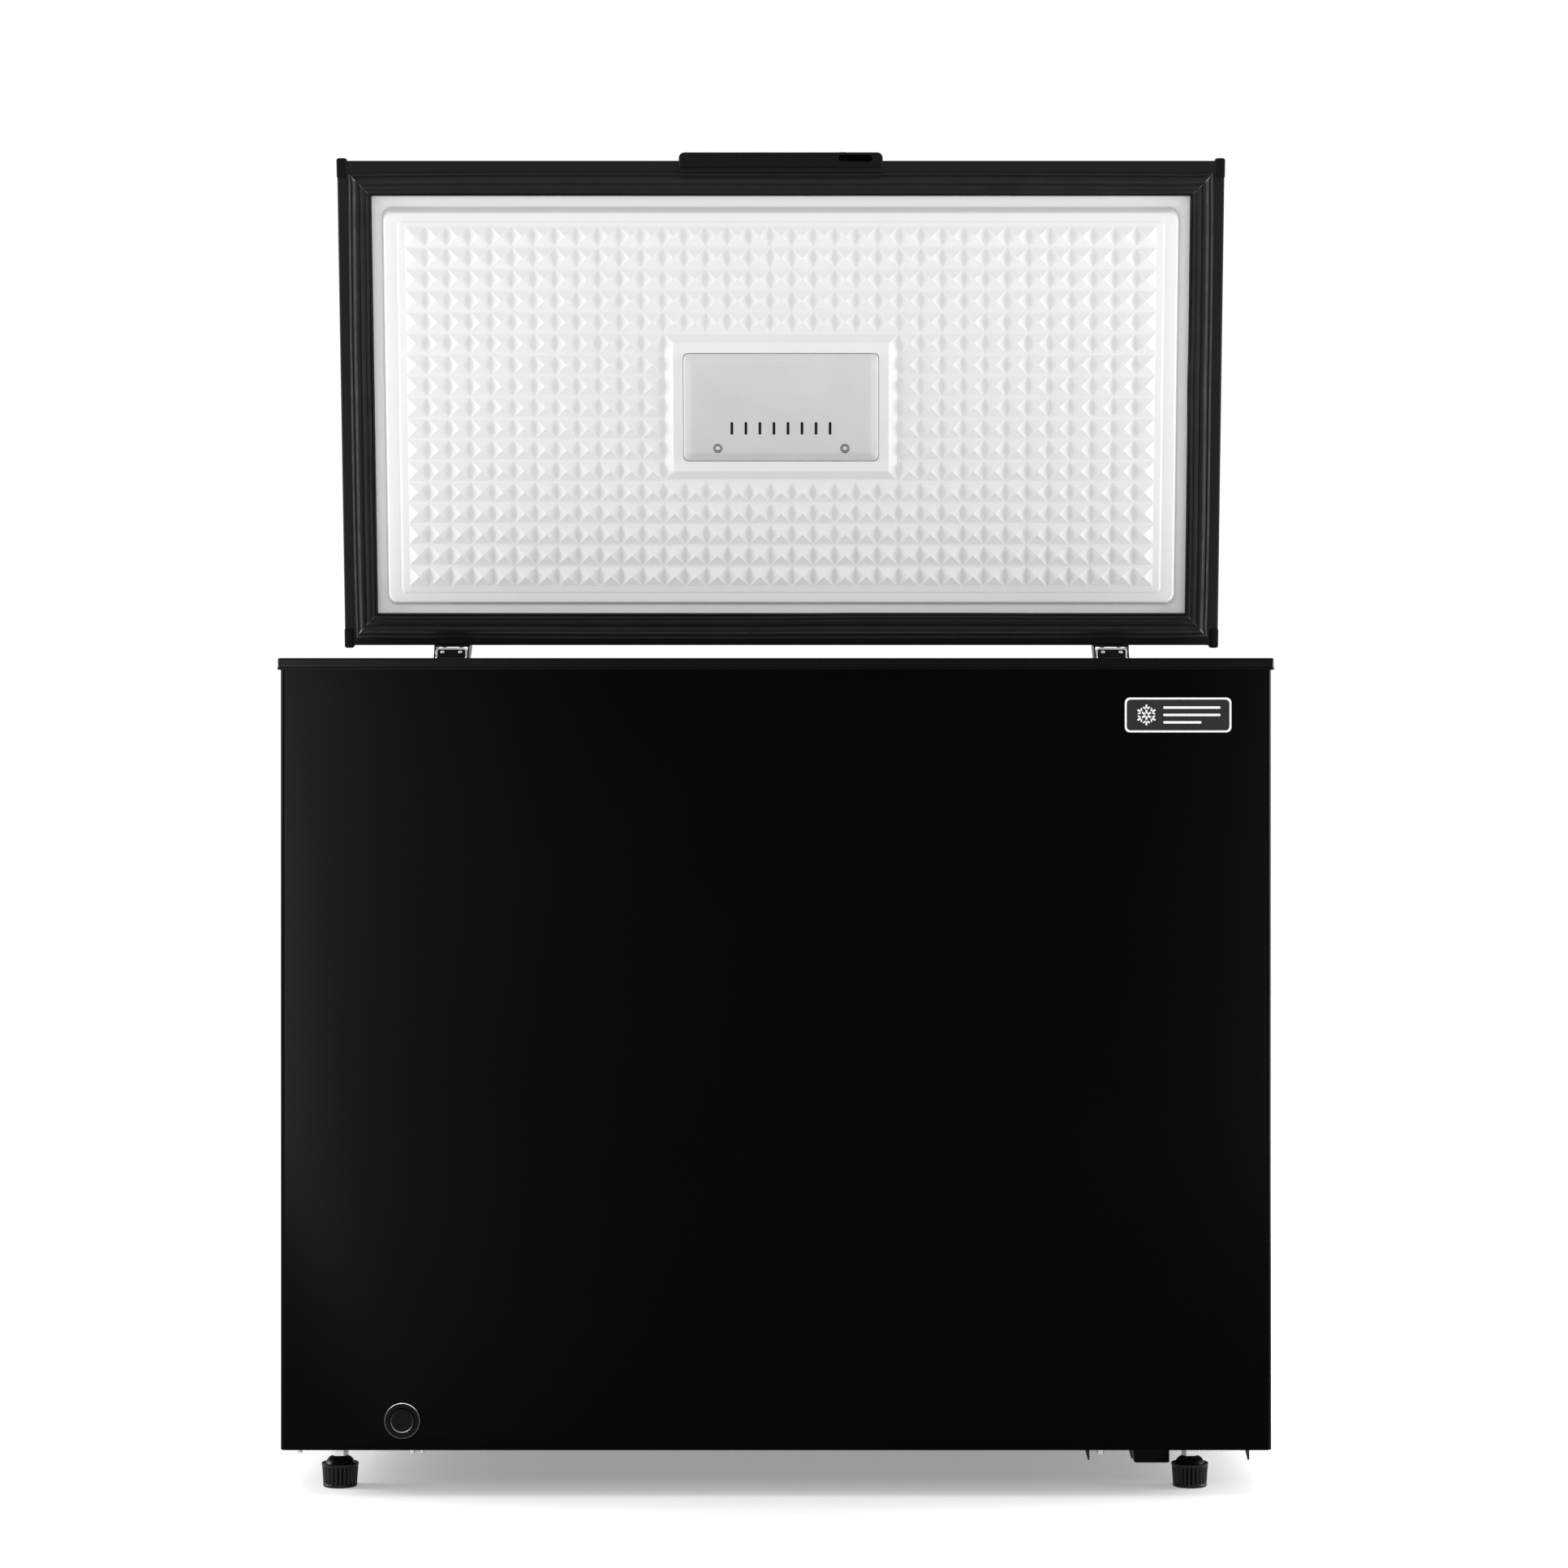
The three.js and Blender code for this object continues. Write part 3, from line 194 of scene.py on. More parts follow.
# Painted shade, for the recesses round the lamp's screws and the dark seen behind its slots.
look("lamp_shadow", (0.02, 0.02, 0.021), 0.5, (1500, 0.00003, 0.3),
     ((0.014, 0.014, 0.015), (0.03, 0.03, 0.032), 240), specular=0.15)
look("gray_plastic", (0.55, 0.56, 0.57), 0.4, (1200, 0.00004, 0.3),
     ((0.52, 0.53, 0.54), (0.58, 0.59, 0.60), 20))
look("seal_rubber", (0.008, 0.008, 0.0085), 0.58, (1800, 0.00005, 0.4),
     ((0.007, 0.007, 0.0075), (0.0095, 0.0095, 0.01), 25), (0.52, 0.7, 60), specular=0.2)
# Lighter grey than the seal, so that the joins show as thin bright lines.
look("seal_weld", (0.05, 0.05, 0.052), 0.4, (1800, 0.00005, 0.4),
     ((0.035, 0.035, 0.037), (0.07, 0.07, 0.072), 160))
look("foam", (0.78, 0.68, 0.42), 0.9, (300, 0.0006, 0.7),
     ((0.72, 0.62, 0.36), (0.84, 0.75, 0.50), 60))
look("board", (0.02, 0.11, 0.05), 0.4, (2500, 0.00004, 0.4),
     ((0.015, 0.09, 0.04), (0.03, 0.14, 0.07), 120))

# Metals.
look("zinc", (0.62, 0.63, 0.64), 0.3, (600, 0.00004, 0.3),
     ((0.54, 0.55, 0.57), (0.70, 0.71, 0.72), 45), (0.24, 0.42, 80), (1, 1, 8), metallic=1.0)
look("dark_steel", (0.012, 0.012, 0.013), 0.45, (500, 0.00005, 0.3),
     ((0.0115, 0.0115, 0.0125), (0.0145, 0.0145, 0.0155), 9), (0.43, 0.49, 22),
     metallic=0.3, specular=0.4)
look("tray_steel", (0.035, 0.035, 0.037), 0.45, (600, 0.00004, 0.3),
     ((0.02, 0.02, 0.021), (0.05, 0.05, 0.052), 60), (0.36, 0.55, 80),
     metallic=0.6, specular=0.4)
look("basket_wire", (0.74, 0.745, 0.75), 0.3, (500, 0.00005, 0.3), gloss=(0.24, 0.38, 90), coat=0.3)
metal("aluminium", (0.68, 0.69, 0.70), (0.8, 0.8, 0.81), 0.3)
metal("copper", (0.62, 0.27, 0.14), (0.72, 0.36, 0.20), 0.28)
metal("spring_steel", (0.25, 0.25, 0.26), (0.36, 0.36, 0.37), 0.35)

# The studio's floor glows a little, so that it stays pale.
look("studio_floor", (0.86, 0.86, 0.86), 0.75, None, gloss=(0.7, 0.8, 3), specular=0.1)
glow = LOOKS["studio_floor"].node_tree.nodes["Principled BSDF"].inputs
glow["Emission Color"].default_value = (1, 1, 1, 1)
glow["Emission Strength"].default_value = 0.3


# ---------------------------------------------------------------- places, in millimetres
# Pieces are laid out as the CAD is: X to the right, Y back from the rim's front face, Z up,
# and the lid closed. Lid pieces are then turned to rest about the hinge pin.
hinge = next(joint for joint in frame["joints"] if joint["name"] == "lid_hinge")
PIN = Vector(hinge["pos_m"])
OPEN_ANGLE = math.radians(-hinge["range_deg"][0])
LID_REST = (Matrix.Translation(PIN) @ Matrix.Rotation(-OPEN_ANGLE, 4, "X")
            @ Matrix.Translation(-PIN))
LID_BODIES = ("lid", "lock")
Box = namedtuple("Box", "x0 x1 y0 y1 z0 z1")


def layout(node):
    """A CAD node's box in millimetres, with the lid closed."""
    back = LID_REST.inverted() if nodes[node]["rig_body"] in LID_BODIES else Matrix.Identity(4)
    points = [back @ vertex.co - Vector((0, RIM_FRONT, 0)) for vertex in nodes[node].data.vertices]
    spans = [(min(values) / MM, max(values) / MM) for values in zip(*points)]
    return Box(*[end for span in spans for end in span])


# ---------------------------------------------------------------- mesh helpers
def rounded(x0, x1, y0, y1, z, front=0.0, back=None, steps=6):
    """Points round a level rectangle whose front and back corners have these radii."""
    back = front if back is None else back
    corners = (
        (x1 - front, y0 + front, front, -90), (x1 - back, y1 - back, back, 0),
        (x0 + back, y1 - back, back, 90), (x0 + front, y0 + front, front, 180),
    )
    points = []
    for cx, cy, radius, start in corners:
        for i in range(steps + 1):
            turn = math.radians(start + (90 * i / steps if steps else 45))
            points.append((cx + radius * math.cos(turn), cy + radius * math.sin(turn), z))
    return points


def circle(x, y, z, radius, sides=40):
    """Points round a level circle."""
    turns = [2 * math.pi * i / sides for i in range(sides)]
    return [(x + radius * math.cos(t), y + radius * math.sin(t), z) for t in turns]


def fluted(x, y, z, radius, depth, ribs, power=1.0):
    """Points round a level circle with grooves of this depth between its ribs."""
    sides = 6 * ribs
    points = []
    for i in range(sides):
        turn = 2 * math.pi * i / sides
        here = radius - depth * ((1 + math.cos(ribs * turn)) / 2) ** power
        points.append((x + here * math.cos(turn), y + here * math.sin(turn), z))
    return points


def to_front(loop):
    """Turns a level loop to stand in a plane of constant Y: its Y becomes Z, its height Y."""
    return [(x, z, y) for x, y, z in loop]


def to_right(loop):
    """Turns a level loop to stand in a plane of constant X: (X, Y) become (Y, Z)."""
    return [(z, x, y) for x, y, z in loop]


def skin(mesh, loops, caps=(True, True), closed=False):
    """Joins loops of equally many points, one to the next, into the mesh."""
    rings = [[mesh.verts.new(point) for point in loop] for loop in loops]
    if closed:
        rings.append(rings[0])
    for lower, upper in zip(rings, rings[1:]):
        for i in range(len(lower)):
            j = (i + 1) % len(lower)
            mesh.faces.new((lower[i], lower[j], upper[j], upper[i]))
    if caps[0] and not closed:
        mesh.faces.new(rings[0][::-1])
    if caps[1] and not closed:
        mesh.faces.new(rings[-1])


def lathe(mesh, profile, place, turn, sides=40, closed=False):
    """A profile of (radius, height) turned about an axis that `turn` lays down."""
    x, y, z = place
    loops = []
    for radius, height in profile:
        loop = turn(circle(0, 0, height, radius, sides))
        loops.append([(x + a, y + b, z + c) for a, b, c in loop])
    skin(mesh, loops, closed=closed)


def block(mesh, x0, x1, y0, y1, z0, z1):
    """A box."""
    skin(mesh, [rounded(x0, x1, y0, y1, z, 0, steps=0) for z in (z0, z1)])


def shrink(x0, x1, y0, y1, rows):
    """Level rounded rectangles in these bounds, from rows of (inset, height, radius)."""
    return [rounded(x0 + a, x1 - a, y0 + a, y1 - a, z, r) for a, z, r in rows]


def level(loop):
    """Leaves a level loop as it is."""
    return loop


def screw(mesh, place, turn, radius=4.0, out=-1):
    """A pan head with a cross recess, standing out from a plane along the turned axis."""
    arm, half, deep = radius * 0.62, radius * 0.16, radius * 0.35
    head = [(radius, 0), (radius, 0.25 * radius), (0.9 * radius, 0.45 * radius),
            (0.66 * radius, 0.62 * radius), (0.62 * radius, 0.64 * radius)]
    x, y, z = place
    loops = [circle(0, 0, out * height, r, 24) for r, height in head]
    cross = []
    for i in range(24):
        t = 2 * math.pi * i / 24
        c, s = math.cos(t), math.sin(t)
        reach = min(arm / max(abs(c), abs(s)), half / max(min(abs(c), abs(s)), 1e-6))
        cross.append((c * reach, s * reach))
    top = out * 0.64 * radius
    loops.append([(a, b, top) for a, b in cross])
    loops.append([(a * 0.8, b * 0.8, top - out * deep) for a, b in cross])
    placed = [[(x + a, y + b, z + c) for a, b, c in turn(loop)] for loop in loops]
    skin(mesh, placed)


def place_piece(name, data, body, replaced):
    """Puts a piece in the scene and on its body, and hides what it replaces."""
    piece = bpy.data.objects.new(name, data)
    bpy.context.scene.collection.objects.link(piece)
    if body in LID_BODIES:
        piece.matrix_world = LID_REST
    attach(piece, body)
    if replaced:
        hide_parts(*replaced)
    return piece


def build(name, mesh, look, body, replaced=(), sharp=35, edge=0.0):
    """Makes a piece from a mesh laid out in millimetres, with its material, body and edges."""
    bmesh.ops.remove_doubles(mesh, verts=mesh.verts, dist=1e-4)
    bmesh.ops.recalc_face_normals(mesh, faces=mesh.faces)
    bmesh.ops.scale(mesh, vec=(MM, MM, MM), verts=mesh.verts)
    bmesh.ops.translate(mesh, vec=(0, RIM_FRONT, 0), verts=mesh.verts)
    data = bpy.data.meshes.new(name)
    mesh.to_mesh(data)
    mesh.free()
    data.shade_smooth()
    data.set_sharp_from_angle(angle=math.radians(sharp))
    data.materials.append(LOOKS[look])
    piece = place_piece(name, data, body, replaced)
    if edge:
        round_edges(piece, edge)
    return piece


def solid(name, loops, look, body, replaced=(), sharp=35, edge=0.0, closed=False):
    """A piece made of one run of loops."""
    mesh = bmesh.new()
    skin(mesh, loops, closed=closed)
    return build(name, mesh, look, body, replaced, sharp, edge)


def round_edges(piece, width, segments=2):
    """Small rounded edges on a piece, with its flat faces kept flat to the light."""
    edges = piece.modifiers.new("edges", "BEVEL")
    edges.width = width * MM
    edges.segments = segments
    edges.limit_method = "ANGLE"
    edges.angle_limit = math.radians(40)
    edges.harden_normals = True


def carve(piece, cutter):
    """Cuts closed shapes, laid out in millimetres, out of a piece for good."""
    bmesh.ops.recalc_face_normals(cutter, faces=cutter.faces)
    bmesh.ops.scale(cutter, vec=(MM, MM, MM), verts=cutter.verts)
    bmesh.ops.translate(cutter, vec=(0, RIM_FRONT, 0), verts=cutter.verts)
    data = bpy.data.meshes.new("cutter")
    cutter.to_mesh(data)
    cutter.free()
    tool = bpy.data.objects.new("cutter", data)
    bpy.context.scene.collection.objects.link(tool)
    tool.matrix_world = piece.matrix_world.copy()
    cut = piece.modifiers.new("cut", "BOOLEAN")
    cut.object = tool
    cut.solver = "EXACT"
    bpy.context.view_layer.update()
    done = piece.evaluated_get(bpy.context.evaluated_depsgraph_get())
    piece.data = bpy.data.meshes.new_from_object(done)
    piece.modifiers.clear()
    bpy.data.objects.remove(tool)


def smoothing(limit):
    """A modifier tree that shades faces smooth, and keeps edges over the limit crisp."""
    tree = bpy.data.node_groups.new("smoothing", "GeometryNodeTree")
    for way in ("INPUT", "OUTPUT"):
        tree.interface.new_socket("Geometry", in_out=way, socket_type="NodeSocketGeometry")
    start = tree.nodes.new("NodeGroupInput")
    end = tree.nodes.new("NodeGroupOutput")
    faces = tree.nodes.new("GeometryNodeSetShadeSmooth")
    edges = tree.nodes.new("GeometryNodeSetShadeSmooth")
    edges.domain = "EDGE"
    angle = tree.nodes.new("GeometryNodeInputMeshEdgeAngle")
    under = tree.nodes.new("FunctionNodeCompare")
    under.operation = "LESS_EQUAL"
    under.inputs[1].default_value = math.radians(limit)
    tree.links.new(start.outputs[0], faces.inputs["Geometry"])
    tree.links.new(faces.outputs[0], edges.inputs["Geometry"])
    tree.links.new(angle.outputs["Unsigned Angle"], under.inputs[0])
    tree.links.new(under.outputs[0], edges.inputs["Shade Smooth"])
    tree.links.new(edges.outputs[0], end.inputs[0])
    return tree


SMOOTHING = smoothing(35)


def soften(node, look, width=0.3):
    """Gives a CAD node its material, smooth shading and small rounded edges."""
    piece = nodes[node]
    piece.data.materials.clear()
    piece.data.materials.append(LOOKS[look])
    weld = piece.modifiers.new("weld", "WELD")
    weld.merge_threshold = 0.01 * MM
    shade = piece.modifiers.new("shade", "NODES")
    shade.node_group = SMOOTHING
    round_edges(piece, width)


# ---------------------------------------------------------------- rim
RIM_CORNER = 5.0
RIM_FACE = 11.0  # height of the rim's outer face
HAIRLINE = 0.12  # between mitred strips
rim_box = layout("rim_front")
rim_side = layout("rim_right")
TOP = rim_box.z1
RIM_X = rim_side.x1
RIM_DEPTH = layout("rim_rear").y1


def rim_profile():
    """(inset, height) round a strip's section, from the bottom of its outer face."""
    face = -RIM_FACE
    lip = rim_box.z0 - TOP
    land = rim_box.y1
    return [
        (0.9, face), (0.25, face + 0.25), (0.0, face + 0.8), (0.1, face + 1.3), (0.75, face + 2.2),
        (0.8, face + 2.6), (0.7, -1.6), (0.9, -0.7), (1.6, -0.15), (2.6, 0.0),
        (9.0, 0.0), (9.5, -0.5), (10.6, -0.5), (11.1, 0.0), (46.0, 0.0), (46.6, -0.6),
        (48.0, -0.6), (48.6, 0.0), (land - 2.2, 0.0), (land - 0.8, -0.5), (land, -1.8),
        (land, lip), (land - 3, lip), (land - 3, -3.0), (2.7, -3.0), (2.7, face),
    ]


def rim_strip(name, length, turn, centre):
    """One strip of the rim, its outer edge rounded into the corners at both ends."""
    profile = rim_profile()
    half = length / 2 - HAIRLINE
    loops = []
    for side in (-1, 1):
        bend = []
        for step in range(5):
            angle = math.radians(45 * step / 4)
            loop = []
            for inset, height in profile:
                if inset < RIM_CORNER:
                    radius = RIM_CORNER - inset
                    x = half - RIM_CORNER + radius * math.sin(angle)
                    y = RIM_CORNER - radius * math.cos(angle)
                else:
                    x, y = half - inset, inset
                loop.append((side * x, y, TOP + height))
            bend.append(loop)
        loops.extend(reversed(bend) if side < 0 else bend)
    mesh = bmesh.new()
    skin(mesh, loops)
    around = Matrix.Translation((*centre, 0)) @ Matrix.Rotation(turn, 4, "Z")
    bmesh.ops.transform(mesh, matrix=around, verts=mesh.verts)
    build(name.replace("rim", "rim_strip"), mesh, "rim_plastic", "cabinet", (name,), sharp=50)


def rim():
    """Four mitred strips round the top of the cabinet."""
    quarter = math.pi / 2
    rim_strip("rim_front", 2 * RIM_X, 0, (0, 0))
    rim_strip("rim_rear", 2 * RIM_X, 2 * quarter, (0, RIM_DEPTH))
    rim_strip("rim_left", RIM_DEPTH, -quarter, (-RIM_X, RIM_DEPTH / 2))
    rim_strip("rim_right", RIM_DEPTH, quarter, (RIM_X, RIM_DEPTH / 2))


# ---------------------------------------------------------------- cabinet skin
wrap = layout("outer_wrap")
vent = layout("side_vent_grille")
knob = layout("thermostat_knob")
socket = layout("drain_socket")
SKIN_CORNER = 6.0
SHEET = 1.0
GAP = 0.3  # between neighbouring pieces


def centre_of(box):
    """The middle of a box."""
    return (box.x0 + box.x1) / 2, (box.y0 + box.y1) / 2, (box.z0 + box.z1) / 2


def wrap_path(inset, steps=10):
    """(X, Y) along the skin's outline from the left rear, moved in by the inset."""
    radius = SKIN_CORNER - inset
    left, right, front = wrap.x0 + SKIN_CORNER, wrap.x1 - SKIN_CORNER, wrap.y0 + SKIN_CORNER
    path = [(left - radius, wrap.y1)]
    for cx, start in ((left, 180), (right, 270)):
        for i in range(steps + 1):
            turn = math.radians(start + 90 * i / steps)
            path.append((cx + radius * math.cos(turn), front + radius * math.sin(turn)))
    path.append((right + radius, wrap.y1))
    return path


def cabinet_skin():
    """One sheet folded round three sides, with openings for the vent, knob and drain."""
    section = [
        (0.0, wrap.z0 + 0.7), (0.3, wrap.z0 + 0.15), (SHEET, wrap.z0), (SHEET, wrap.z1),
        (0.0, wrap.z1),
    ]
    paths = [[(x, y, z) for x, y in wrap_path(inset)] for inset, z in section]
    piece = solid("cabinet_skin", list(zip(*paths)), "black_paint", "cabinet", ("outer_wrap",),
                  sharp=40)
    holes = bmesh.new()
    x0, x1 = wrap.x1 - 4, wrap.x1 + 4
    block(holes, x0, x1, vent.y0 - GAP, vent.y1 + GAP, vent.z0 - GAP, vent.z1 + GAP)
    _, knob_y, knob_z = centre_of(knob)
    radius = (knob.z1 - knob.z0) / 2 + 2 * GAP
    lathe(holes, [(radius, x0), (radius, x1)], (0, knob_y, knob_z), to_right)
    drain_x, _, drain_z = centre_of(socket)
    lathe(holes, [(12, wrap.y0 - 4), (12, wrap.y0 + 4)], (drain_x, 0, drain_z), to_front)
    carve(piece, holes)
    piece.data.shade_smooth()
    piece.data.set_sharp_from_angle(angle=math.radians(40))


def back_beads():
    """Pressed stiffening beads across the back panel, and the screws round its edge."""
    panel = layout("back_panel")
    mesh = bmesh.new()
    for z in (190, 320, 450, 580):
        rows = [(inset, panel.y1 - 0.05 + out, 8.9 - inset)
                for inset, out in ((0.0, 0.0), (2.2, 0.35), (4.5, 1.1), (7.0, 1.35))]
        loops = shrink(panel.x0 + 90, panel.x1 - 90, z - 9, z + 9, rows)
        skin(mesh, [to_front(loop) for loop in loops])
    build("back_beads", mesh, "dark_steel", "cabinet", sharp=50)
    left, right = panel.x0 + 14, panel.x1 - 14
    places = [(x, z) for x in (left, -250, 0, 250, right) for z in (panel.z0 + 14, panel.z1 - 24)]
    places += [(side * right, z) for side in (-1, 1) for z in (200, 380, 560)]
    screws = bmesh.new()
    for x, z in places:
        screw(screws, (x, panel.y1, z), to_front, radius=3.6, out=1)
    build("back_screws", screws, "zinc", "cabinet", sharp=30)


# ---------------------------------------------------------------- tub
TUB_WALL = 1.5
TUB_FLANGE = 45.0
TUB_FILLET = 28.0
TUB_MIDDLE = Vector((0, RIM_FRONT + 0.263, 0.5))
STEP_WIDE = 190  # raised floor over the compressor
STEP_TALL = 260
NOSE_ROUND = 5  # at the step's outer corner


def tub_faces(mesh, outline, y0, y1, top):
    """The tub's inside as flat faces, open at the top."""
    front = [mesh.verts.new((x, y0, z)) for x, z in outline]
    back = [mesh.verts.new((x, y1, z)) for x, z in outline]
    mesh.faces.new(front)
    mesh.faces.new(back[::-1])
    for i in range(len(outline)):
        j = (i + 1) % len(outline)
        if outline[i][1] != top or outline[j][1] != top:
            mesh.faces.new((front[j], front[i], back[i], back[j]))


def tub():
    """The tub's walls, floor and compressor step as one filleted shell with a flange."""
    box = layout("inner_liner")
    x0, x1 = box.x0 + TUB_FLANGE, box.x1 - TUB_FLANGE
    y0, y1 = box.y0 + TUB_FLANGE, box.y1 - TUB_FLANGE
    low = box.z0 + TUB_WALL
    step_x, step_z = x1 - STEP_WIDE, low + STEP_TALL
    mesh = bmesh.new()
    tub_faces(mesh, [(x0, low), (step_x, low), (step_x, step_z), (x1, step_z), (x1, box.z1),
                     (x0, box.z1)], y0, y1, box.z1)

    def along_nose(edge):
        """True of an edge that runs along the step's outer corner."""
        first, last = edge.verts
        near = max(abs(first.co.x - step_x), abs(first.co.z - step_z)) < NOSE_ROUND + 1
        return near and abs(first.co.y - last.co.y) > NOSE_ROUND

    nose = [edge for edge in mesh.edges if along_nose(edge)]
    bmesh.ops.bevel(mesh, geom=nose, offset=NOSE_ROUND, segments=3, profile=0.5, affect="EDGES")
    inner = [edge for edge in mesh.edges if not edge.is_boundary and not along_nose(edge)]
    bmesh.ops.bevel(mesh, geom=inner, offset=TUB_FILLET, segments=7, profile=0.5, affect="EDGES")
    top_edges = [edge for edge in mesh.edges if edge.is_boundary]
    grown = bmesh.ops.extrude_edge_only(mesh, edges=top_edges)["geom"]
    for vertex in [item for item in grown if isinstance(item, bmesh.types.BMVert)]:
        near = Vector((min(max(vertex.co.x, x0 + TUB_FILLET), x1 - TUB_FILLET),
                       min(max(vertex.co.y, y0 + TUB_FILLET), y1 - TUB_FILLET), vertex.co.z))
        vertex.co += (vertex.co - near).normalized() * (TUB_FLANGE - 1)
    piece = build("tub", mesh, "white_liner", "cabinet", ("inner_liner",), sharp=40)
    wall = piece.modifiers.new("wall", "SOLIDIFY")
    wall.thickness = TUB_WALL * MM
    wall.offset = 1.0
    faces = piece.data.polygons
    if sum(face.normal.dot(TUB_MIDDLE - face.center) > 0 for face in faces) > len(faces) / 2:
        piece.data.flip_normals()


# ---------------------------------------------------------------- basket
def wires(name, runs, radius, look, body, replaced=()):
    """Round wires along runs of (points, closed), as one curve object."""
    curve = bpy.data.curves.new(name, "CURVE")
    curve.dimensions = "3D"
    curve.bevel_depth = radius * MM
    curve.bevel_resolution = 3
    for points, closed in runs:
        spline = curve.splines.new("POLY")
        spline.points.add(len(points) - 1)
        spline.use_cyclic_u = closed
        spline.use_smooth = True
        for target, (x, y, z) in zip(spline.points, points):
            target.co = (x * MM, RIM_FRONT + y * MM, z * MM, 1)
    curve.use_fill_caps = True
    curve.materials.append(LOOKS[look])
    place_piece(name, curve, body, replaced)


def basket():
    """A basket of round wires: rails round it, thinner wires down and across."""
    box = layout("storage_basket")
    top, low = box.z1 - 3, box.z0 + 3
    x0, x1 = box.x0 + 4, box.x1 - 4
    y0, y1 = box.y0 + 11, box.y1 - 11
    taper, bend, corner = 12, 8, 18
    shares = (0, 0.34, 0.67, 1)
    rows = [(taper * share, top - (top - low) * share, corner) for share in shares]
    rails = [(loop, True) for loop in shrink(x0, x1, y0, y1, rows)]
    for y, outer in ((y0, y0 - 8), (y1, y1 + 8)):
        rails.append(([(x0 + 40, y, top), (x0 + 44, outer, top), (x1 - 44, outer, top),
                       (x1 - 40, y, top)], False))
    wires("basket_rails", rails, 2.2, "basket_wire", "basket", ("storage_basket",))

    def cradle(start, end):
        """(place, height) along a wire that goes down, across the bottom and up."""
        return [(start, top), (start + taper, low + bend), (start + taper + bend, low),
                (end - taper - bend, low), (end - taper, low + bend), (end, top)]

    def spread(start, end, lanes):
        """Places of the wires between two walls of the basket."""
        return [start + taper + (end - start - 2 * taper) * i / lanes for i in range(1, lanes)]

    thin = [([(x, y, z) for y, z in cradle(y0, y1)], False) for x in spread(x0, x1, 12)]
    thin += [([(x, y, z) for x, z in cradle(x0, x1)], False) for y in spread(y0, y1, 16)]
    wires("basket_mesh", thin, 1.3, "basket_wire", "basket")


# ---------------------------------------------------------------- lid
pan = layout("lid_outer_panel")
seal = layout("lid_gasket")
lamp = layout("lamp_cover")
LID_LOW = pan.z0
LID_HIGH = pan.z1


def lid_pan():
    """The lid's steel pan, from its turned-in flange up over the rounded top edge."""
    profile = [
        (21, LID_LOW + 1), (21, LID_LOW), (3, LID_LOW), (1.6, LID_LOW + 0.25), (0.8, LID_LOW + 0.9),
        (0.4, LID_LOW + 2.2), (0.4, LID_HIGH - 5), (0.75, LID_HIGH - 3.0), (1.6, LID_HIGH - 1.5),
        (3.0, LID_HIGH - 0.45), (5.0, LID_HIGH),
    ]
    rows = [(inset, z, max(6.0 - inset, 0.8)) for inset, z in profile]
    mesh = bmesh.new()
    skin(mesh, shrink(pan.x0, pan.x1, pan.y0, pan.y1, rows), caps=(False, True))
    build("lid_pan", mesh, "lid_paint", "lid", ("lid_outer_panel",), sharp=40)


def lid_core():
    """The foam inside the lid, kept inside the pan's rounded edges."""
    box = layout("lid_foam")
    rows = [  # half width, inset from the front, inset from the rear, height, corner radius
        (412, 66, 60, box.z0, 6), (414, 64, 58, box.z0 + 1, 6), (420, 60, 54, LID_LOW + 1, 6),
        (box.x1 - 4, 5, 5, LID_LOW + 2, 3), (box.x1 - 1, 2.2, 2.2, LID_LOW + 5, 3),
        (box.x1 - 1, 2.2, 2.2, box.z1 - 4, 3), (box.x1 - 2, 3.2, 3.2, box.z1 - 2, 3),
        (box.x1 - 4, 5.2, 5.2, box.z1 - 0.6, 3), (box.x1 - 6, 7.2, 7.2, box.z1 - 0.2, 3),
    ]
    loops = [rounded(-x, x, pan.y0 + a, pan.y1 - b, z, r) for x, a, b, z, r in rows]
    solid("lid_core", loops, "foam", "lid", ("lid_foam",), sharp=40)


COLUMNS = 35
ROWS = 17
CLEAR_COLUMNS = 11  # left out round the lamp
CLEAR_ROWS = 7
FIELD_X = 401.2
FIELD_FRONT = 68.6  # behind the lid's front edge
FIELD_REAR = 64.9  # in front of the lid's rear edge
FIELD_DROP = 11.9  # field's plane below the lid's steel edge
PEAK_DROP = 16.3
FRAME_DROP = 16.0


def pyramids(mesh, base, peak):
    """The field of small pyramids, with flat lanes between them and none round the lamp."""
    y0 = pan.y0 + FIELD_FRONT
    pitch_x = 2 * FIELD_X / COLUMNS
    pitch_y = (pan.y1 - FIELD_REAR - y0) / ROWS
    lane = 2.2
    for column in range(COLUMNS):
        for row in range(ROWS):
            if (abs(column - (COLUMNS - 1) / 2) <= CLEAR_COLUMNS / 2
                    and abs(row - (ROWS - 1) / 2) <= CLEAR_ROWS / 2):
                continue
            x = -FIELD_X + pitch_x * (column + 0.5)
            y = y0 + pitch_y * (row + 0.5)
            loops = []
            for share, z in ((1.0, base), (0.94, base - 0.15), (0.07, peak + 0.12), (0.02, peak)):
                half_x = share * (pitch_x - lane) / 2
                half_y = share * (pitch_y - lane) / 2
                loops.append(rounded(x - half_x, x + half_x, y - half_y, y + half_y, z, 0, steps=0))
            skin(mesh, loops, caps=(False, True))


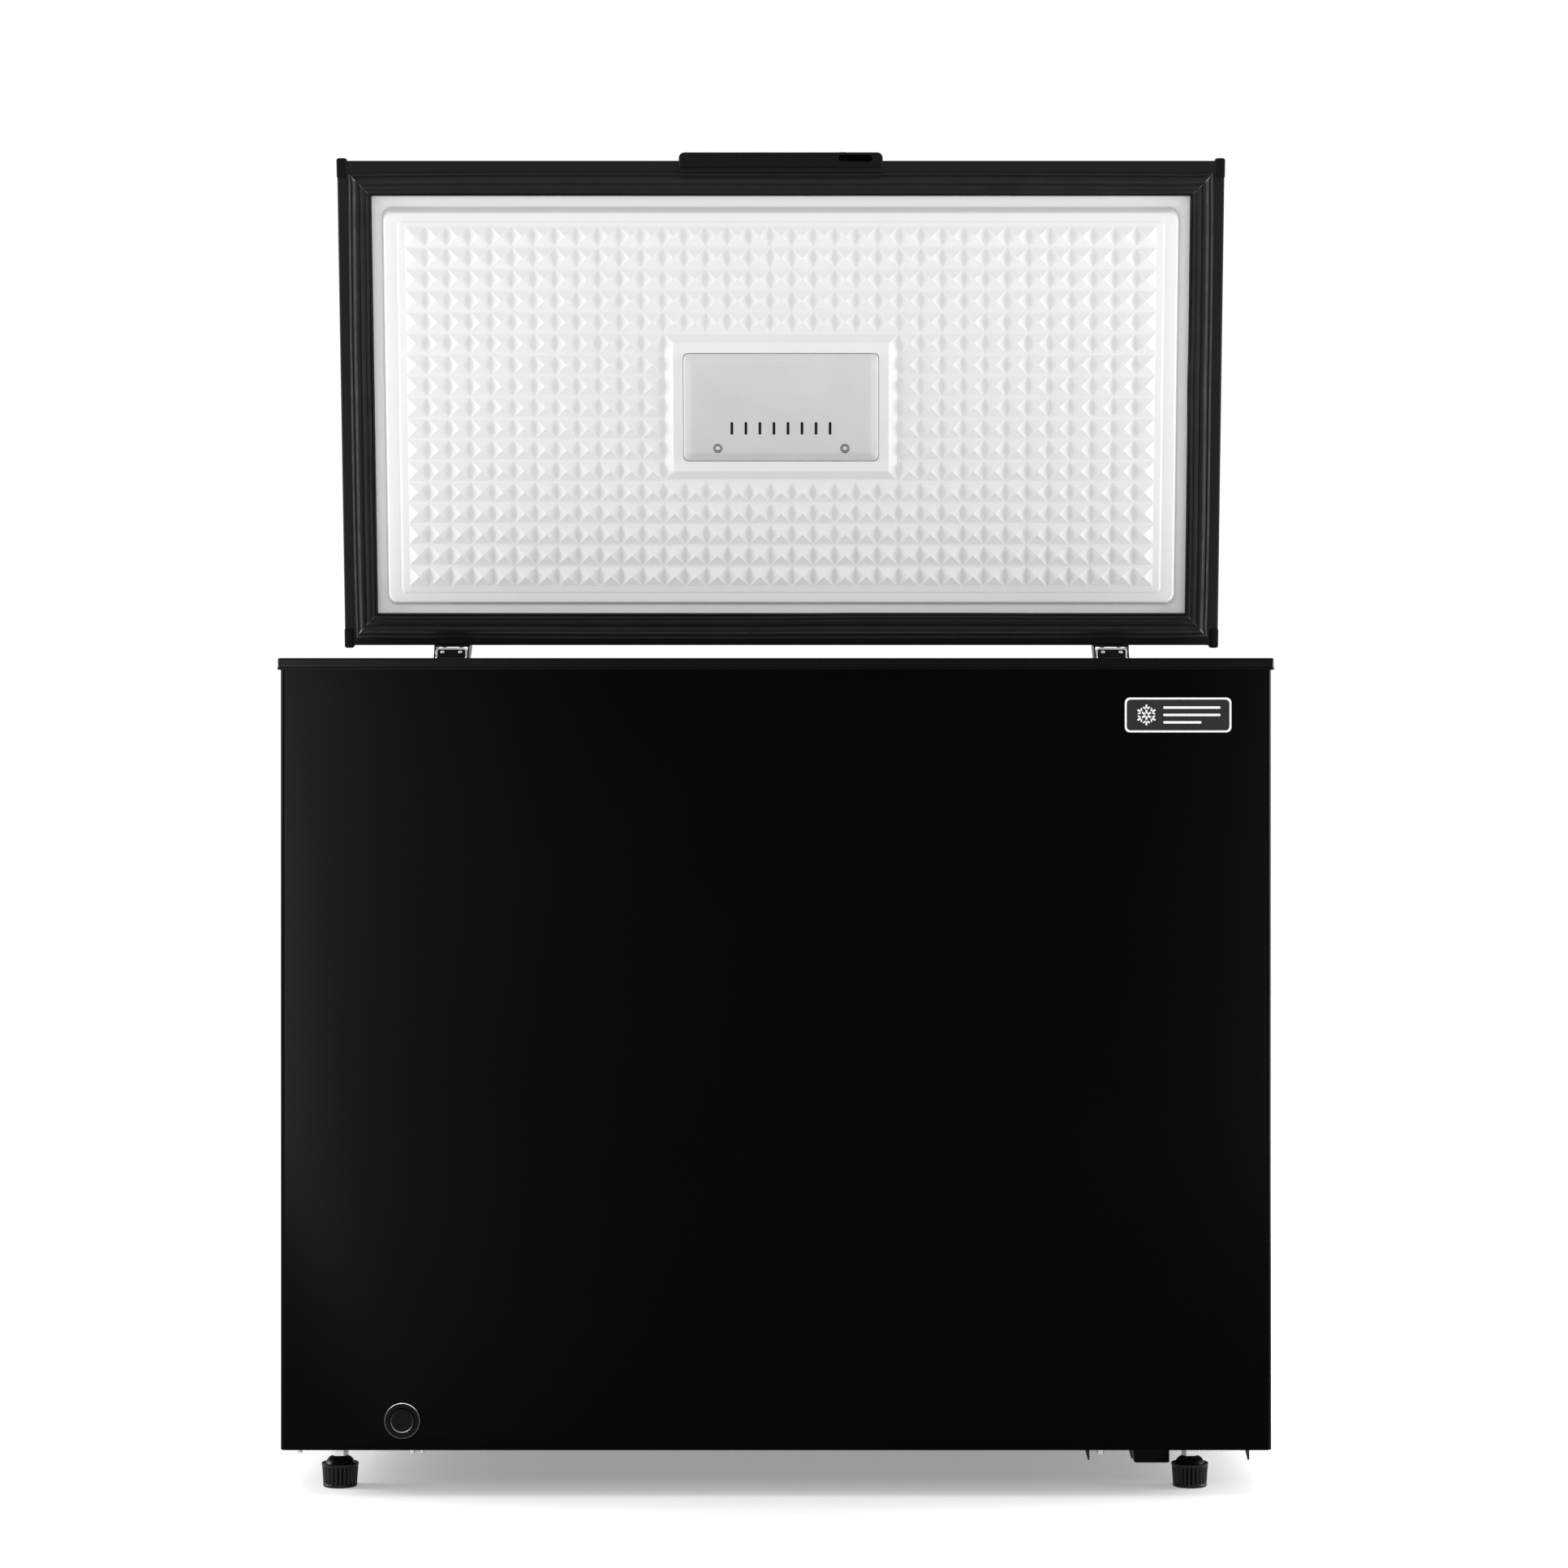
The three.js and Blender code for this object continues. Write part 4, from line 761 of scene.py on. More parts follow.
def lid_panel():
    """The lid's inner panel: border, sloping step, plateau, field and lamp frame."""
    front, rear = pan.y0, pan.y1
    border = LID_LOW - 1.0
    plateau = LID_LOW - 11.0
    field = LID_LOW - FIELD_DROP
    rows = [  # half width, inset from the front, inset from the rear, height, corner radius
        (455.0, 18.0, 18.0, border, 3), (426.5, 48.0, 44.0, border, 10),
        (425.3, 49.4, 45.2, border - 0.5, 10.5), (422.2, 54.6, 48.2, plateau + 1.2, 11),
        (421.4, 56.0, 49.1, plateau + 0.25, 11), (419.6, 57.8, 50.6, plateau, 11),
        (409.0, 63.6, 57.8, plateau, 6), (407.8, 64.6, 58.8, plateau - 0.3, 5),
        (407.0, 65.4, 59.6, field + 0.2, 5), (405.6, 66.4, 60.8, field, 4.5),
    ]
    loops = [rounded(-x, x, front + a, rear - b, z, r) for x, a, b, z, r in rows]
    socket_low = LID_LOW - FRAME_DROP
    loops += shrink(-124.2, 124.2, rear - 335.5, rear - 180.5, [
        (0.0, field, 1.2), (0.5, field - 0.35, 1.2), (8.2, field - 3.6, 1.6),
        (8.9, socket_low, 1.6)])
    loops += shrink(lamp.x0, lamp.x1, lamp.y0, lamp.y1, [
        (-0.9, socket_low, 5), (-0.35, socket_low + 0.5, 5), (-0.35, border - 1, 5),
        (-8, border + 0.5, 5)])
    loops.append(rounded(-455.0, 455.0, front + 18.0, rear - 18.0, border + 0.8, 3))
    mesh = bmesh.new()
    skin(mesh, loops, closed=True)
    pyramids(mesh, field + 0.02, LID_LOW - PEAK_DROP)
    build("lid_inner_panel", mesh, "white_liner", "lid", ("lid_liner",), sharp=14)


SEAL_SIDE = 25.2  # the seal's width along each edge
SEAL_FRONT = 25.0
SEAL_REAR = 27.4
SEAL_RIBS = [  # share of the width from the outer edge, and height below the lid's steel edge
    (0.0, 1.2), (0.02, 3.0), (0.07, 4.2), (0.12, 4.6), (0.16, 4.0), (0.19, 4.4), (0.23, 7.6),
    (0.29, 9.9), (0.36, 10.9), (0.43, 10.7), (0.48, 9.6), (0.51, 9.2), (0.54, 9.7),
    (0.58, 10.5), (0.70, 10.6), (0.73, 9.7), (0.76, 9.5), (0.79, 9.9), (0.84, 10.4),
    (0.91, 9.6), (0.96, 7.2), (0.99, 3.6), (1.0, 1.2),
]
SEAL_STEPS = 56  # points along each side
CORNER_PULL = 1.6  # how far the seal's outer edge draws in at its corners


def seal_line(share):
    """(x0, x1, y0, y1) of the seal's line at a share of its width."""
    return (seal.x0 + share * SEAL_SIDE, seal.x1 - share * SEAL_SIDE,
            seal.y0 + share * SEAL_FRONT, seal.y1 - share * SEAL_REAR)


def door_seal():
    """The magnetic seal: ribbed along its length, mitred at the corners and a little wavy."""
    dice = random.Random(11)
    waves = [[(dice.uniform(0.25, 0.6), dice.uniform(0, 6.28), n) for n in (1, 2, 3, 5)]
             for _ in range(4)]
    inward = ((0, 1), (-1, 0), (0, -1), (1, 0))
    loops = []
    for share, drop in SEAL_RIBS:
        x0, x1, y0, y1 = seal_line(share)
        corners = [(x0, y0), (x1, y0), (x1, y1), (x0, y1)]
        loop = []
        for side in range(4):
            (ax, ay), (bx, by) = corners[side], corners[(side + 1) % 4]
            in_x, in_y = inward[side]
            for i in range(SEAL_STEPS):
                t = i / SEAL_STEPS
                sway = sum(a / n * math.sin(2 * math.pi * n * t + p) for a, p, n in waves[side])
                sway *= math.sin(math.pi * t) ** 0.5 * (0.25 + 0.75 * share)
                sway += CORNER_PULL * (1 - share) * math.exp(-min(t, 1 - t) * 9)
                loop.append((ax + (bx - ax) * t + in_x * sway, ay + (by - ay) * t + in_y * sway,
                             LID_LOW - drop - 0.35 * sway * share))
        loops.append(loop)
    solid("door_seal", loops, "seal_rubber", "lid", ("lid_gasket",), sharp=40, closed=True)


def seal_lip():
    """The thin lip along the seal's inner edge."""
    section = ((0.945, 9.6), (0.972, 8.6), (1.0, 5.0), (1.012, 1.25), (0.95, 1.25))
    loops = [rounded(*seal_line(share), LID_LOW - drop, 0.6, steps=2) for share, drop in section]
    solid("door_seal_lip", loops, "black_plastic", "lid", sharp=60, closed=True)


def seal_welds():
    """The raised joins across the seal at its four mitred corners."""
    welds = bmesh.new()
    for sx in (-1, 1):
        for y, sy, width in ((seal.y0, 1, SEAL_FRONT), (seal.y1, -1, SEAL_REAR)):
            rows = []
            for across, lift in ((-0.5, -0.25), (0.0, 0.35), (0.5, -0.25)):
                rows.append([welds.verts.new((sx * (seal.x1 - share * SEAL_SIDE) + sx * across,
                                              y + sy * share * width + sy * across,
                                              LID_LOW - drop - lift))
                             for share, drop in SEAL_RIBS[3:-2]])
            for lower, upper in zip(rows, rows[1:]):
                for i in range(len(lower) - 1):
                    welds.faces.new((lower[i], lower[i + 1], upper[i + 1], upper[i]))
    build("door_seal_welds", welds, "seal_weld", "lid", sharp=60)


LAMP_SCREWS = (-67.6, 68.4)
LAMP_SLOTS = 8
LAMP_SLOT_PITCH = 15
LAMP_SLOT_HALF = 1.5


def lamp_cover():
    """The lamp's cover: soft edges, eight slots and two recessed screws, with painted shade in the
    screw cups and behind the slots.
    """
    screw_y = lamp.y1 - 13.5
    section = [  # inset from the outline, and height above the face, from the inside round
        (9.6, 0.0), (8.2, 0.16), (7.2, 0.42), (1.4, 2.15), (0.7, 2.45), (0.2, 2.9), (0.0, 3.4),
        (0.0, 4.0),
    ]
    inner = [(0.0, 4.0), (1.6, 4.0), (3.0, 3.4), (10.5, 1.6)]
    mesh = bmesh.new()
    for run, caps in ((section, (True, False)), (inner, (False, True))):
        rows = [(a, lamp.z0 + z, max(5.5 - a * 0.4, 2.0)) for a, z in run]
        skin(mesh, shrink(lamp.x0, lamp.x1, lamp.y0, lamp.y1, rows), caps=caps)
    piece = build("lamp_lens_cover", mesh, "lamp_plastic", "lid", ("lamp_cover",), sharp=45)
    through = (lamp.z0 - 3, lamp.z0 + 6)
    holes = bmesh.new()
    for i in range(LAMP_SLOTS):
        x = (i - (LAMP_SLOTS - 1) / 2) * LAMP_SLOT_PITCH
        skin(holes, [rounded(x - LAMP_SLOT_HALF, x + LAMP_SLOT_HALF, lamp.y1 - 41.7,
                             lamp.y1 - 28.0, z, 0.999 * LAMP_SLOT_HALF) for z in through])
    for x in LAMP_SCREWS:
        skin(holes, [circle(x, screw_y, z, 5.0, 28) for z in through])
    carve(piece, holes)
    round_edges(piece, 0.35)
    # The cups round the screws carry painted shade in their recesses.
    cups = bmesh.new()
    screws = bmesh.new()
    for x in LAMP_SCREWS:
        cup = [(4.95, 0.5), (4.3, 2.6), (4.3, 2.9), (4.95, 3.0)]
        skin(cups, [circle(x, screw_y, lamp.z0 + h, r, 28) for r, h in cup], closed=True)
        screw(screws, (x, screw_y, lamp.z0 + 2.9), level, radius=3.7)
        skin(screws, [circle(x, screw_y, lamp.z0 + h, 4.5, 24) for h in (2.9, 3.6)])
    build("lamp_screw_cups", cups, "lamp_shadow", "lid", sharp=40)
    build("lamp_screws", screws, "zinc", "lid", sharp=30)
    # A dark plate behind the cover is painted shade, seen through its slots.
    back = bmesh.new()
    block(back, lamp.x0 + 8, lamp.x1 - 8, lamp.y0 + 8, lamp.y1 - 24, lamp.z0 + 4.3, lamp.z0 + 5.0)
    build("lamp_backing", back, "lamp_shadow", "lid", sharp=40)


def corner_caps():
    """Small blocks with soft edges over the four corners of the lid's edge."""
    for corner in ("front_left", "front_right", "rear_left", "rear_right"):
        node = f"lid_corner_{corner}"
        box = layout(node)
        profile = [(1.4, box.z0), (0.5, box.z0 + 0.35), (0.0, box.z0 + 1.3), (0.0, box.z1 - 1.3),
                   (0.5, box.z1 - 0.35), (1.4, box.z1)]
        rows = [(inset, z, 2.6 - inset) for inset, z in profile]
        loops = shrink(box.x0, box.x1, box.y0, box.y1, rows)
        solid(f"corner_cap_{corner}", loops, "black_plastic", "lid", (node,), sharp=45)


def cam_passage(box):
    """The slit that the lock's cam swings down through, as a closed shape to cut."""
    cam = layout("lock_cam")
    wide = cam.z1 - cam.z0
    slit = bmesh.new()
    skin(slit, [rounded(cam.x0 - 0.4, cam.x0 + wide + 0.4, cam.y0 - 0.8, cam.y1 + 0.8, z, 0.5)
                for z in (box.z0 + 3, box.z0 + 13)])
    return slit


SLOT_X0, SLOT_X1 = 61.3, 97.5
SLOT_DEEP = 4.6  # up into the handle from its underside
LOCK_BORE = 7.4  # radius


def handle():
    """The handle on the lid's front edge, with a plate of painted shade in the slot below, and the
    lock's bore.
    """
    box = layout("lid_handle")
    ledge = LID_LOW - 0.6
    behind = pan.y0 - 0.3
    rows = [  # inset, height, back edge
        (3.2, box.z0, box.y1), (1.2, box.z0 + 0.4, box.y1), (0.3, box.z0 + 1.2, box.y1),
        (0.0, box.z0 + 2.4, box.y1), (0.0, ledge, box.y1), (0.0, ledge, behind),
        (0.0, box.z1 - 7, behind), (0.7, box.z1 - 3.6, behind), (2.4, box.z1 - 1.2, behind),
        (5.0, box.z1, behind),
    ]
    loops = []
    for inset, z, back in rows:
        radius = max(6.0 - inset, 1.5) if back - box.y0 > 8 else 3.0
        loops.append(rounded(box.x0 + inset, box.x1 - inset, box.y0 + inset, back, z, radius, 0.3))
    piece = solid("lid_grip", loops, "black_plastic", "lid", ("lid_handle",), sharp=50)
    slot = (SLOT_X0, SLOT_X1, box.y0 + 2.6, box.y0 + 9.8)
    slot_top = box.z0 + SLOT_DEEP
    holes = bmesh.new()
    skin(holes, [rounded(*slot, z, 3.5) for z in (box.z0 - 3, slot_top)])
    lock_x, _, lock_z = centre_of(layout("lock_cylinder"))
    bore = [(LOCK_BORE, box.y0 - 3), (LOCK_BORE, box.y0 + 7.6)]
    lathe(holes, bore, (lock_x, 0, lock_z), to_front, sides=32)
    carve(piece, holes)
    carve(piece, cam_passage(box))
    round_edges(piece, 0.4)
    # A thin, very dark plate on the slot's floor is painted shade, so that the slot reads as a deep
    # dark recess.
    floor = shrink(*slot, [(0.5, slot_top - 0.25, 3.0), (0.5, slot_top - 0.05, 3.0)])
    shade = solid("lid_grip_slot_painted_shade", floor, "slot_shadow", "lid", ("lid_handle",))
    carve(shade, cam_passage(box))


# ---------------------------------------------------------------- hinges
HINGE_X = 357.5
SLIDER_ROOM = 12.8  # taken by the spring when the lid is shut
ARCH_DEEP = 4.6  # to each side of the pin
ARCH_SHEET = 1.7
ARCH_CORNER = 4.5
PIN_Y, PIN_Z = PIN.y / MM - RIM_FRONT / MM, PIN.z / MM
CROWN = PIN_Z + 13.7  # top of the arch


def arch_line(w, top, r, foot_z):
    """(X, Z) up one leg of the arch, over its rounded top and down the other."""
    line = [(-w, foot_z)]
    for cx, start in ((r - w, 180), (w - r, 90)):
        for i in range(7):
            turn = math.radians(start - 90 * i / 6)
            line.append((cx + r * math.cos(turn), top - r + r * math.sin(turn)))
    return [*line, (w, foot_z)]


def hinge_arch(side, x, bracket, half):
    """The bracket on the cabinet: a strap over the pin, with legs and a plate behind."""
    low, front = bracket.z0, PIN_Y - ARCH_DEEP
    outer = arch_line(half, CROWN, ARCH_CORNER, low)
    inner = arch_line(half - ARCH_SHEET, CROWN - ARCH_SHEET, ARCH_CORNER - ARCH_SHEET, low)
    arch = outer + inner[::-1]
    mesh = bmesh.new()
    skin(mesh, [[(x + a, y, b) for a, b in arch] for y in (front, PIN_Y + ARCH_DEEP)])
    block(mesh, x - half, x + half, bracket.y0, bracket.y0 + 2, low, rim_box.z0 - 0.3)
    for x0, x1 in ((x - half, x - half + ARCH_SHEET), (x + half - ARCH_SHEET, x + half)):
        block(mesh, x0, x1, bracket.y0 + 1.5, front + 0.5, low, rim_box.z0 - 0.4)
        block(mesh, x0, x1, front - 5, front + 0.5, rim_box.z0 - 1, PIN_Z + 4)
    build(f"hinge_arch_{side}", mesh, "zinc", "cabinet", (f"hinge_bracket_{side}",), sharp=40,
          edge=0.3)


def hinge_shield(side, x, half):
    """The dark plate that closes the arch toward the front."""
    loops = []
    for inset, y in ((0.4, PIN_Y - 4.9), (0.0, PIN_Y - 4.5), (0.0, PIN_Y - 3.3)):
        loops.append(to_front(rounded(x - half + 1.9 + inset, x + half - 1.9 - inset,
                                      rim_box.z0 - 4, CROWN - 1.9 - inset, y, 0.4, 2.4)))
    solid(f"hinge_shield_{side}", loops, "black_plastic", "cabinet", sharp=40)


def hinge_slider(side, x):
    """The plunger, hollow below so that the spring passes into it."""
    node = f"hinge_plunger_{side}"
    box = layout(node)
    left, right, roof = x - 8.3, x + 8.3, box.z0 + SLIDER_ROOM
    outline = [(box.x0, box.z0), (left, box.z0), (left, roof), (right, roof), (right, box.z0),
               (box.x1, box.z0), (box.x1, box.z1), (box.x0, box.z1)]
    loops = [[(a, y, b) for a, b in outline] for y in (box.y0, box.y1)]
    solid(f"hinge_slider_{side}", loops, "black_plastic", nodes[node]["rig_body"], (node,), edge=0.4)


def hinge_shell(side, cover):
    """The dark cover over the spring, open at the top."""
    profile = [(3.0, cover.z0), (1.0, cover.z0 + 0.7), (0.2, cover.z0 + 2.4), (0.0, cover.z0 + 4),
               (0.0, cover.z1 - 1), (0.4, cover.z1), (2, cover.z1), (2, cover.z1 - 30)]
    loops = []
    for inset, z in profile:
        radius = 2.4 if inset == 2 else 4.0
        loops.append(rounded(cover.x0 + inset, cover.x1 - inset, cover.y0, cover.y1 - inset, z,
                             0.2, radius))
    solid(f"hinge_shell_{side}", loops, "black_plastic", "cabinet", (f"hinge_cover_{side}",),
          sharp=40)


def hinge_wing(side, x):
    """The leaf on the lid: two ears that turn on the pin, a back plate and its screws."""
    leaf = layout(f"hinge_leaf_{side}")
    high = leaf.z1
    face = pan.y1 + 0.3
    outline = [(face, high), (face, PIN_Z + 3), (PIN_Y - 8, PIN_Z - 2)]
    for i in range(9):
        turn = math.radians(190 + 190 * i / 8)
        outline.append((PIN_Y + 8 * math.cos(turn), PIN_Z + 8 * math.sin(turn)))
    outline += [(face + 9, high - 5), (face + 6, high)]
    width = (leaf.x1 - leaf.x0) / 2
    mesh = bmesh.new()
    for way in (-1, 1):
        skin(mesh, [[(at, y, z) for y, z in outline]
                    for at in (x + way * (width - 1.6), x + way * width)])
    loops = []
    for inset, y in ((0.0, face), (0.0, face + 1.3), (0.4, face + 1.6)):
        loops.append(to_front(rounded(x - width + inset, x + width - inset, PIN_Z + 3 + inset,
                                      high - inset, y, 0.5, 3.0)))
    skin(mesh, loops)
    for across in (-9, 9):
        for z in (high - 8, high - 22):
            screw(mesh, (x + across, face + 1.6, z), to_front, radius=3.2, out=1)
    build(f"hinge_wing_{side}", mesh, "dark_steel", "lid", (f"hinge_leaf_{side}",), edge=0.25)


def hinge_parts(side):
    """All the pieces of one hinge."""
    x = -HINGE_X if side == "left" else HINGE_X
    bracket = layout(f"hinge_bracket_{side}")
    cover = layout(f"hinge_cover_{side}")
    half = (bracket.x1 - bracket.x0) / 2
    hinge_arch(side, x, bracket, half)
    hinge_shield(side, x, half)
    screws = bmesh.new()
    for way in (-1, 1):
        screw(screws, (x + way * 9.6, PIN_Y - 4.9, CROWN - 4.8), to_front, radius=2.2)
        screw(screws, (x + way * 8.5, cover.y1, cover.z0 + 14), to_front, radius=3.2, out=1)
    build(f"hinge_screws_{side}", screws, "zinc", "cabinet", sharp=30)
    hinge_slider(side, x)
    hinge_shell(side, cover)
    hinge_wing(side, x)


# ---------------------------------------------------------------- feet
FOOT_SKIRT = 23.0  # height of the ribbed part
FOOT_RIBS = 24
HEX_ACROSS = 14.0  # between the stem's flats


def foot(corner):
    """A levelling foot: a ribbed knob and its hexagonal stem."""
    node = f"foot_knob_{corner}"
    box = layout(node)
    x, y, _ = centre_of(box)
    radius = (box.x1 - box.x0) / 2
    skirt, top = FOOT_SKIRT, box.z1
    rows = [  # inset from the knob's radius, height, depth of the grooves
        (3.6, 0.0, 0), (1.9, 0.3, 0), (1.3, 1.2, 0), (1.2, 2.4, 0), (1.5, 2.9, 0), (1.6, 3.3, 0.2),
        (1.5, 4.2, 1.7), (0.5, skirt - 4.0, 1.9), (0.35, skirt - 3.0, 0.7), (0.2, skirt - 2.4, 0),
        (0, skirt - 1.6, 0), (0, skirt - 0.5, 0), (0.5, skirt, 0), (1.6, skirt, 0),
        (2.3, skirt - 0.8, 0), (3.6, skirt - 0.6, 0), (4.2, skirt + 0.6, 0), (5.2, skirt + 3.0, 0),
        (7.0, top - 1.2, 0), (8.4, top - 0.2, 0), (9.6, top, 0),
    ]
    loops = [fluted(x, y, z, radius - inset, depth, FOOT_RIBS, 2.5) for inset, z, depth in rows]
    body = nodes[node]["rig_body"]
    solid(f"foot_grip_{corner}", loops, "foot_plastic", body, (node,), sharp=38)
    stem = layout(f"foot_stem_{corner}")
    loops = []
    for inset, z in ((0.5, stem.z0), (0.0, stem.z0 + 0.6), (0.0, stem.z1 - 1.0), (0.8, stem.z1)):
        loops.append(circle(x, y, z, HEX_ACROSS / math.sqrt(3) - inset, 6))
    solid(f"foot_hex_{corner}", loops, "zinc", body, (f"foot_stem_{corner}",), sharp=30, edge=0.25)


# ---------------------------------------------------------------- drain
def drain():
    """The drain's ring and its turning cap, each with a glossy edge, on the lower front."""
    x, _, z = centre_of(socket)
    middle = (x, 0, z)
    face = wrap.y0
    turning = nodes["drain_dial"]["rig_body"]

    def turned(name, profile, look, body, replaced=(), sharp=60, sides=60):
        """A ring of this section round the drain's axis."""
        mesh = bmesh.new()
        lathe(mesh, profile, middle, to_front, sides=sides, closed=True)
        build(name, mesh, look, body, replaced, sharp)

    turned("drain_ring", [
        (9.6, face + 9), (9.6, face - 1.2), (11.75, face - 1.4), (11.8, face - 3.2),
        (12.3, face - 3.6), (13.4, face - 3.45), (15.4, face - 3.4), (16.2, face - 3.2),
        (16.8, face - 2.6), (17.0, face - 1.8), (17.0, face - 0.4), (12.0, face - 0.3),
        (11.7, face + 9),
    ], "black_plastic", "cabinet", ("drain_socket",), 40, sides=72)
    turned("drain_ring_edge", [
        (16.1, face - 3.35), (16.5, face - 3.45), (16.95, face - 3.1), (17.15, face - 2.5),
        (17.1, face - 1.9), (16.2, face - 2.0),
    ], "gloss_plastic", "cabinet", sides=72)
    out = layout("drain_dial").y0
    cap = bmesh.new()
    lathe(cap, [
        (11.3, face - 1.9), (11.4, face - 2.2), (11.4, out + 0.6), (11.3, out + 0.15), (11.1, out),
        (10.8, out), (10.6, out + 0.7), (9.9, out + 1.35), (6.0, out + 1.3), (2.0, out + 1.25),
    ], middle, to_front, sides=60)
    turn = math.radians(-38)
    c, s = math.cos(turn), math.sin(turn)
    for side in (-1.1, 1.1):
        dot = [(0.75, out + 1.6), (0.75, out + 0.35), (0.5, out + 0.1)]
        lathe(cap, dot, (x + 11.6 * c + side * s, 0, z + 11.6 * s - side * c), to_front, sides=14)
    build("drain_cap", cap, "black_plastic", turning, ("drain_dial",), sharp=40)
    turned("drain_cap_dish", [
        (10.95, out - 0.02), (10.7, out + 0.2), (10.35, out + 0.75), (9.8, out + 1.2),
        (9.8, out + 1.5), (10.95, out + 1.5),
    ], "gloss_plastic", turning)


# ---------------------------------------------------------------- badge
def badge():
    """A plain plate with a raised outline and a generic frost mark."""
    box = layout("badge")
    cx, _, cz = centre_of(box)
    face = box.y0

    def frames(corner, profile):
        """Nested outlines of the badge, from rows of (inset, place in Y)."""
        rows = [(inset, y, corner - inset * 0.6) for inset, y in profile]
        return [to_front(loop) for loop in shrink(box.x0, box.x1, box.z0, box.z1, rows)]

    plate = frames(5.4, ((0.0, box.y1), (0.0, face + 0.6), (0.5, face + 0.25), (2.6, face + 0.25)))
    solid("badge_plate", plate, "badge_face", "cabinet", ("badge",), sharp=40)
    marks = bmesh.new()
    skin(marks, frames(5.2, ((0.5, face + 0.3), (0.6, face + 0.05), (0.9, face), (2.0, face),
                             (2.3, face + 0.05), (2.4, face + 0.3))), closed=True)

    def stroke(x0, z0, x1, z1, width):
        """A bar with round ends."""
        length = math.hypot(x1 - x0, z1 - z0)
        turn = math.atan2(z1 - z0, x1 - x0)
        c, s = math.cos(turn), math.sin(turn)
        half = width / 2
        flat = [rounded(-half, length + half, -half, half, y, width * 0.499)
                for y in (face + 0.3, face + 0.02)]
        skin(marks, [[(x0 + a * c - b * s, y, z0 + a * s + b * c) for a, b, y in loop]
                     for loop in flat])

    star_x, arm = cx - 30, 9.0
    for i in range(6):
        turn = math.radians(30 + 60 * i)
        c, s = math.cos(turn), math.sin(turn)
        stroke(star_x, cz, star_x + arm * c, cz + arm * s, 1.9)
        for lean in (-1, 1):
            side = turn + lean * math.radians(55)
            x, z = star_x + 0.58 * arm * c, cz + 0.58 * arm * s
            stroke(x, z, x + 3.4 * math.cos(side), z + 3.4 * math.sin(side), 1.4)
    for i, reach in enumerate((52, 52, 34)):
        z = cz + 7 - 7 * i
        stroke(cx - 13, z, cx - 13 + reach, z, 2.3)
    build("badge_marks", marks, "white_mark", "cabinet", sharp=40)


# ---------------------------------------------------------------- right side: grille and thermostat
def side_grille():
    """The air vent's frame and its slanted blades."""
    face = wrap.x1
    y0, y1, z0, z1 = vent.y0 + 0.2, vent.y1 - 0.2, vent.z0 + 0.2, vent.z1 - 0.2
    profile = ((0, -2.2), (0, 0.5), (0.5, 0.95), (1.6, 1.0), (7.5, 1.0), (8.6, 0.5), (8.8, -2.2))
    rows = [(inset, face + out, 2.0) for inset, out in profile]
    mesh = bmesh.new()
    skin(mesh, [to_right(loop) for loop in shrink(y0, y1, z0, z1, rows)], closed=True)
    blades = 13
    pitch = (z1 - z0 - 17) / blades
    for i in range(blades):
        z = z0 + 8.5 + pitch * (i + 0.5)
        section = [(-2.1, z + 3.1), (-2.1, z + 1.9), (0.3, z - 3.4), (0.7, z - 3.2),
                   (0.75, z - 2.5), (-1.2, z + 2.9)]
        skin(mesh, [[(face + out, y, height) for out, height in section] for y in (y0 + 8, y1 - 8)])
    build("side_grille", mesh, "black_plastic", "cabinet", ("side_vent_grille",))


def thermostat():
    """The knob with its pointer, the bezel round it and seven ticks that grow."""
    _, y, z = centre_of(knob)
    radius = (knob.z1 - knob.z0) / 2
    face = wrap.x1
    body = nodes["thermostat_knob"]["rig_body"]
    rows = [  # radius, distance out, depth of the grooves
        (radius - 0.2, knob.x0, 0), (radius, knob.x0 + 0.4, 0), (radius, face + 0.4, 0.5),
        (radius - 0.2, knob.x1 - 1.2, 0.5), (radius - 0.8, knob.x1 - 0.3, 0.2),
        (radius - 1.8, knob.x1 - 0.05, 0), (radius - 3.2, knob.x1 - 0.3, 0),
        (radius - 4.0, knob.x1 - 0.9, 0), (2.0, knob.x1 - 1.0, 0),
    ]
    loops = [to_right(fluted(y, z, out, r, depth, 30)) for r, out, depth in rows]
    solid("thermostat_cap", loops, "black_plastic", body, ("thermostat_knob",), sharp=38)
    pointer = [to_right(rounded(y - 0.8, y + 0.8, z + 3, z + radius - 4.6, x, 0.7))
               for x in (knob.x1 - 1.1, knob.x1 - 0.75)]
    solid("thermostat_pointer", pointer, "white_mark", body, sharp=40)
    bezel = bmesh.new()
    section = [(1.0, 0.7), (1.3, 1.0), (9.6, 1.0), (10.2, 0.6), (10.2, 0.02), (1.2, 0.02)]
    profile = [(radius + wide, face + out) for wide, out in section]
    lathe(bezel, profile, (0, y, z), to_right, sides=72, closed=True)
    build("thermostat_bezel", bezel, "black_plastic", "cabinet", sharp=40)
    ticks = bmesh.new()
    for i in range(7):
        turn = math.radians(-45 + 45 * i)
        c, s = math.cos(turn), math.sin(turn)
        inner, outer = radius + 2.4, radius + 5.2 + i * 0.5
        wide = 0.5 + 0.12 * i
        corners = ((inner, -wide), (outer, -wide), (outer, wide), (inner, wide))
        skin(ticks, [[(x, y + c * r - s * w, z + s * r + c * w) for r, w in corners]
                     for x in (face + 0.9, face + 1.15)])
    build("thermostat_ticks", ticks, "white_mark", "cabinet", sharp=40)


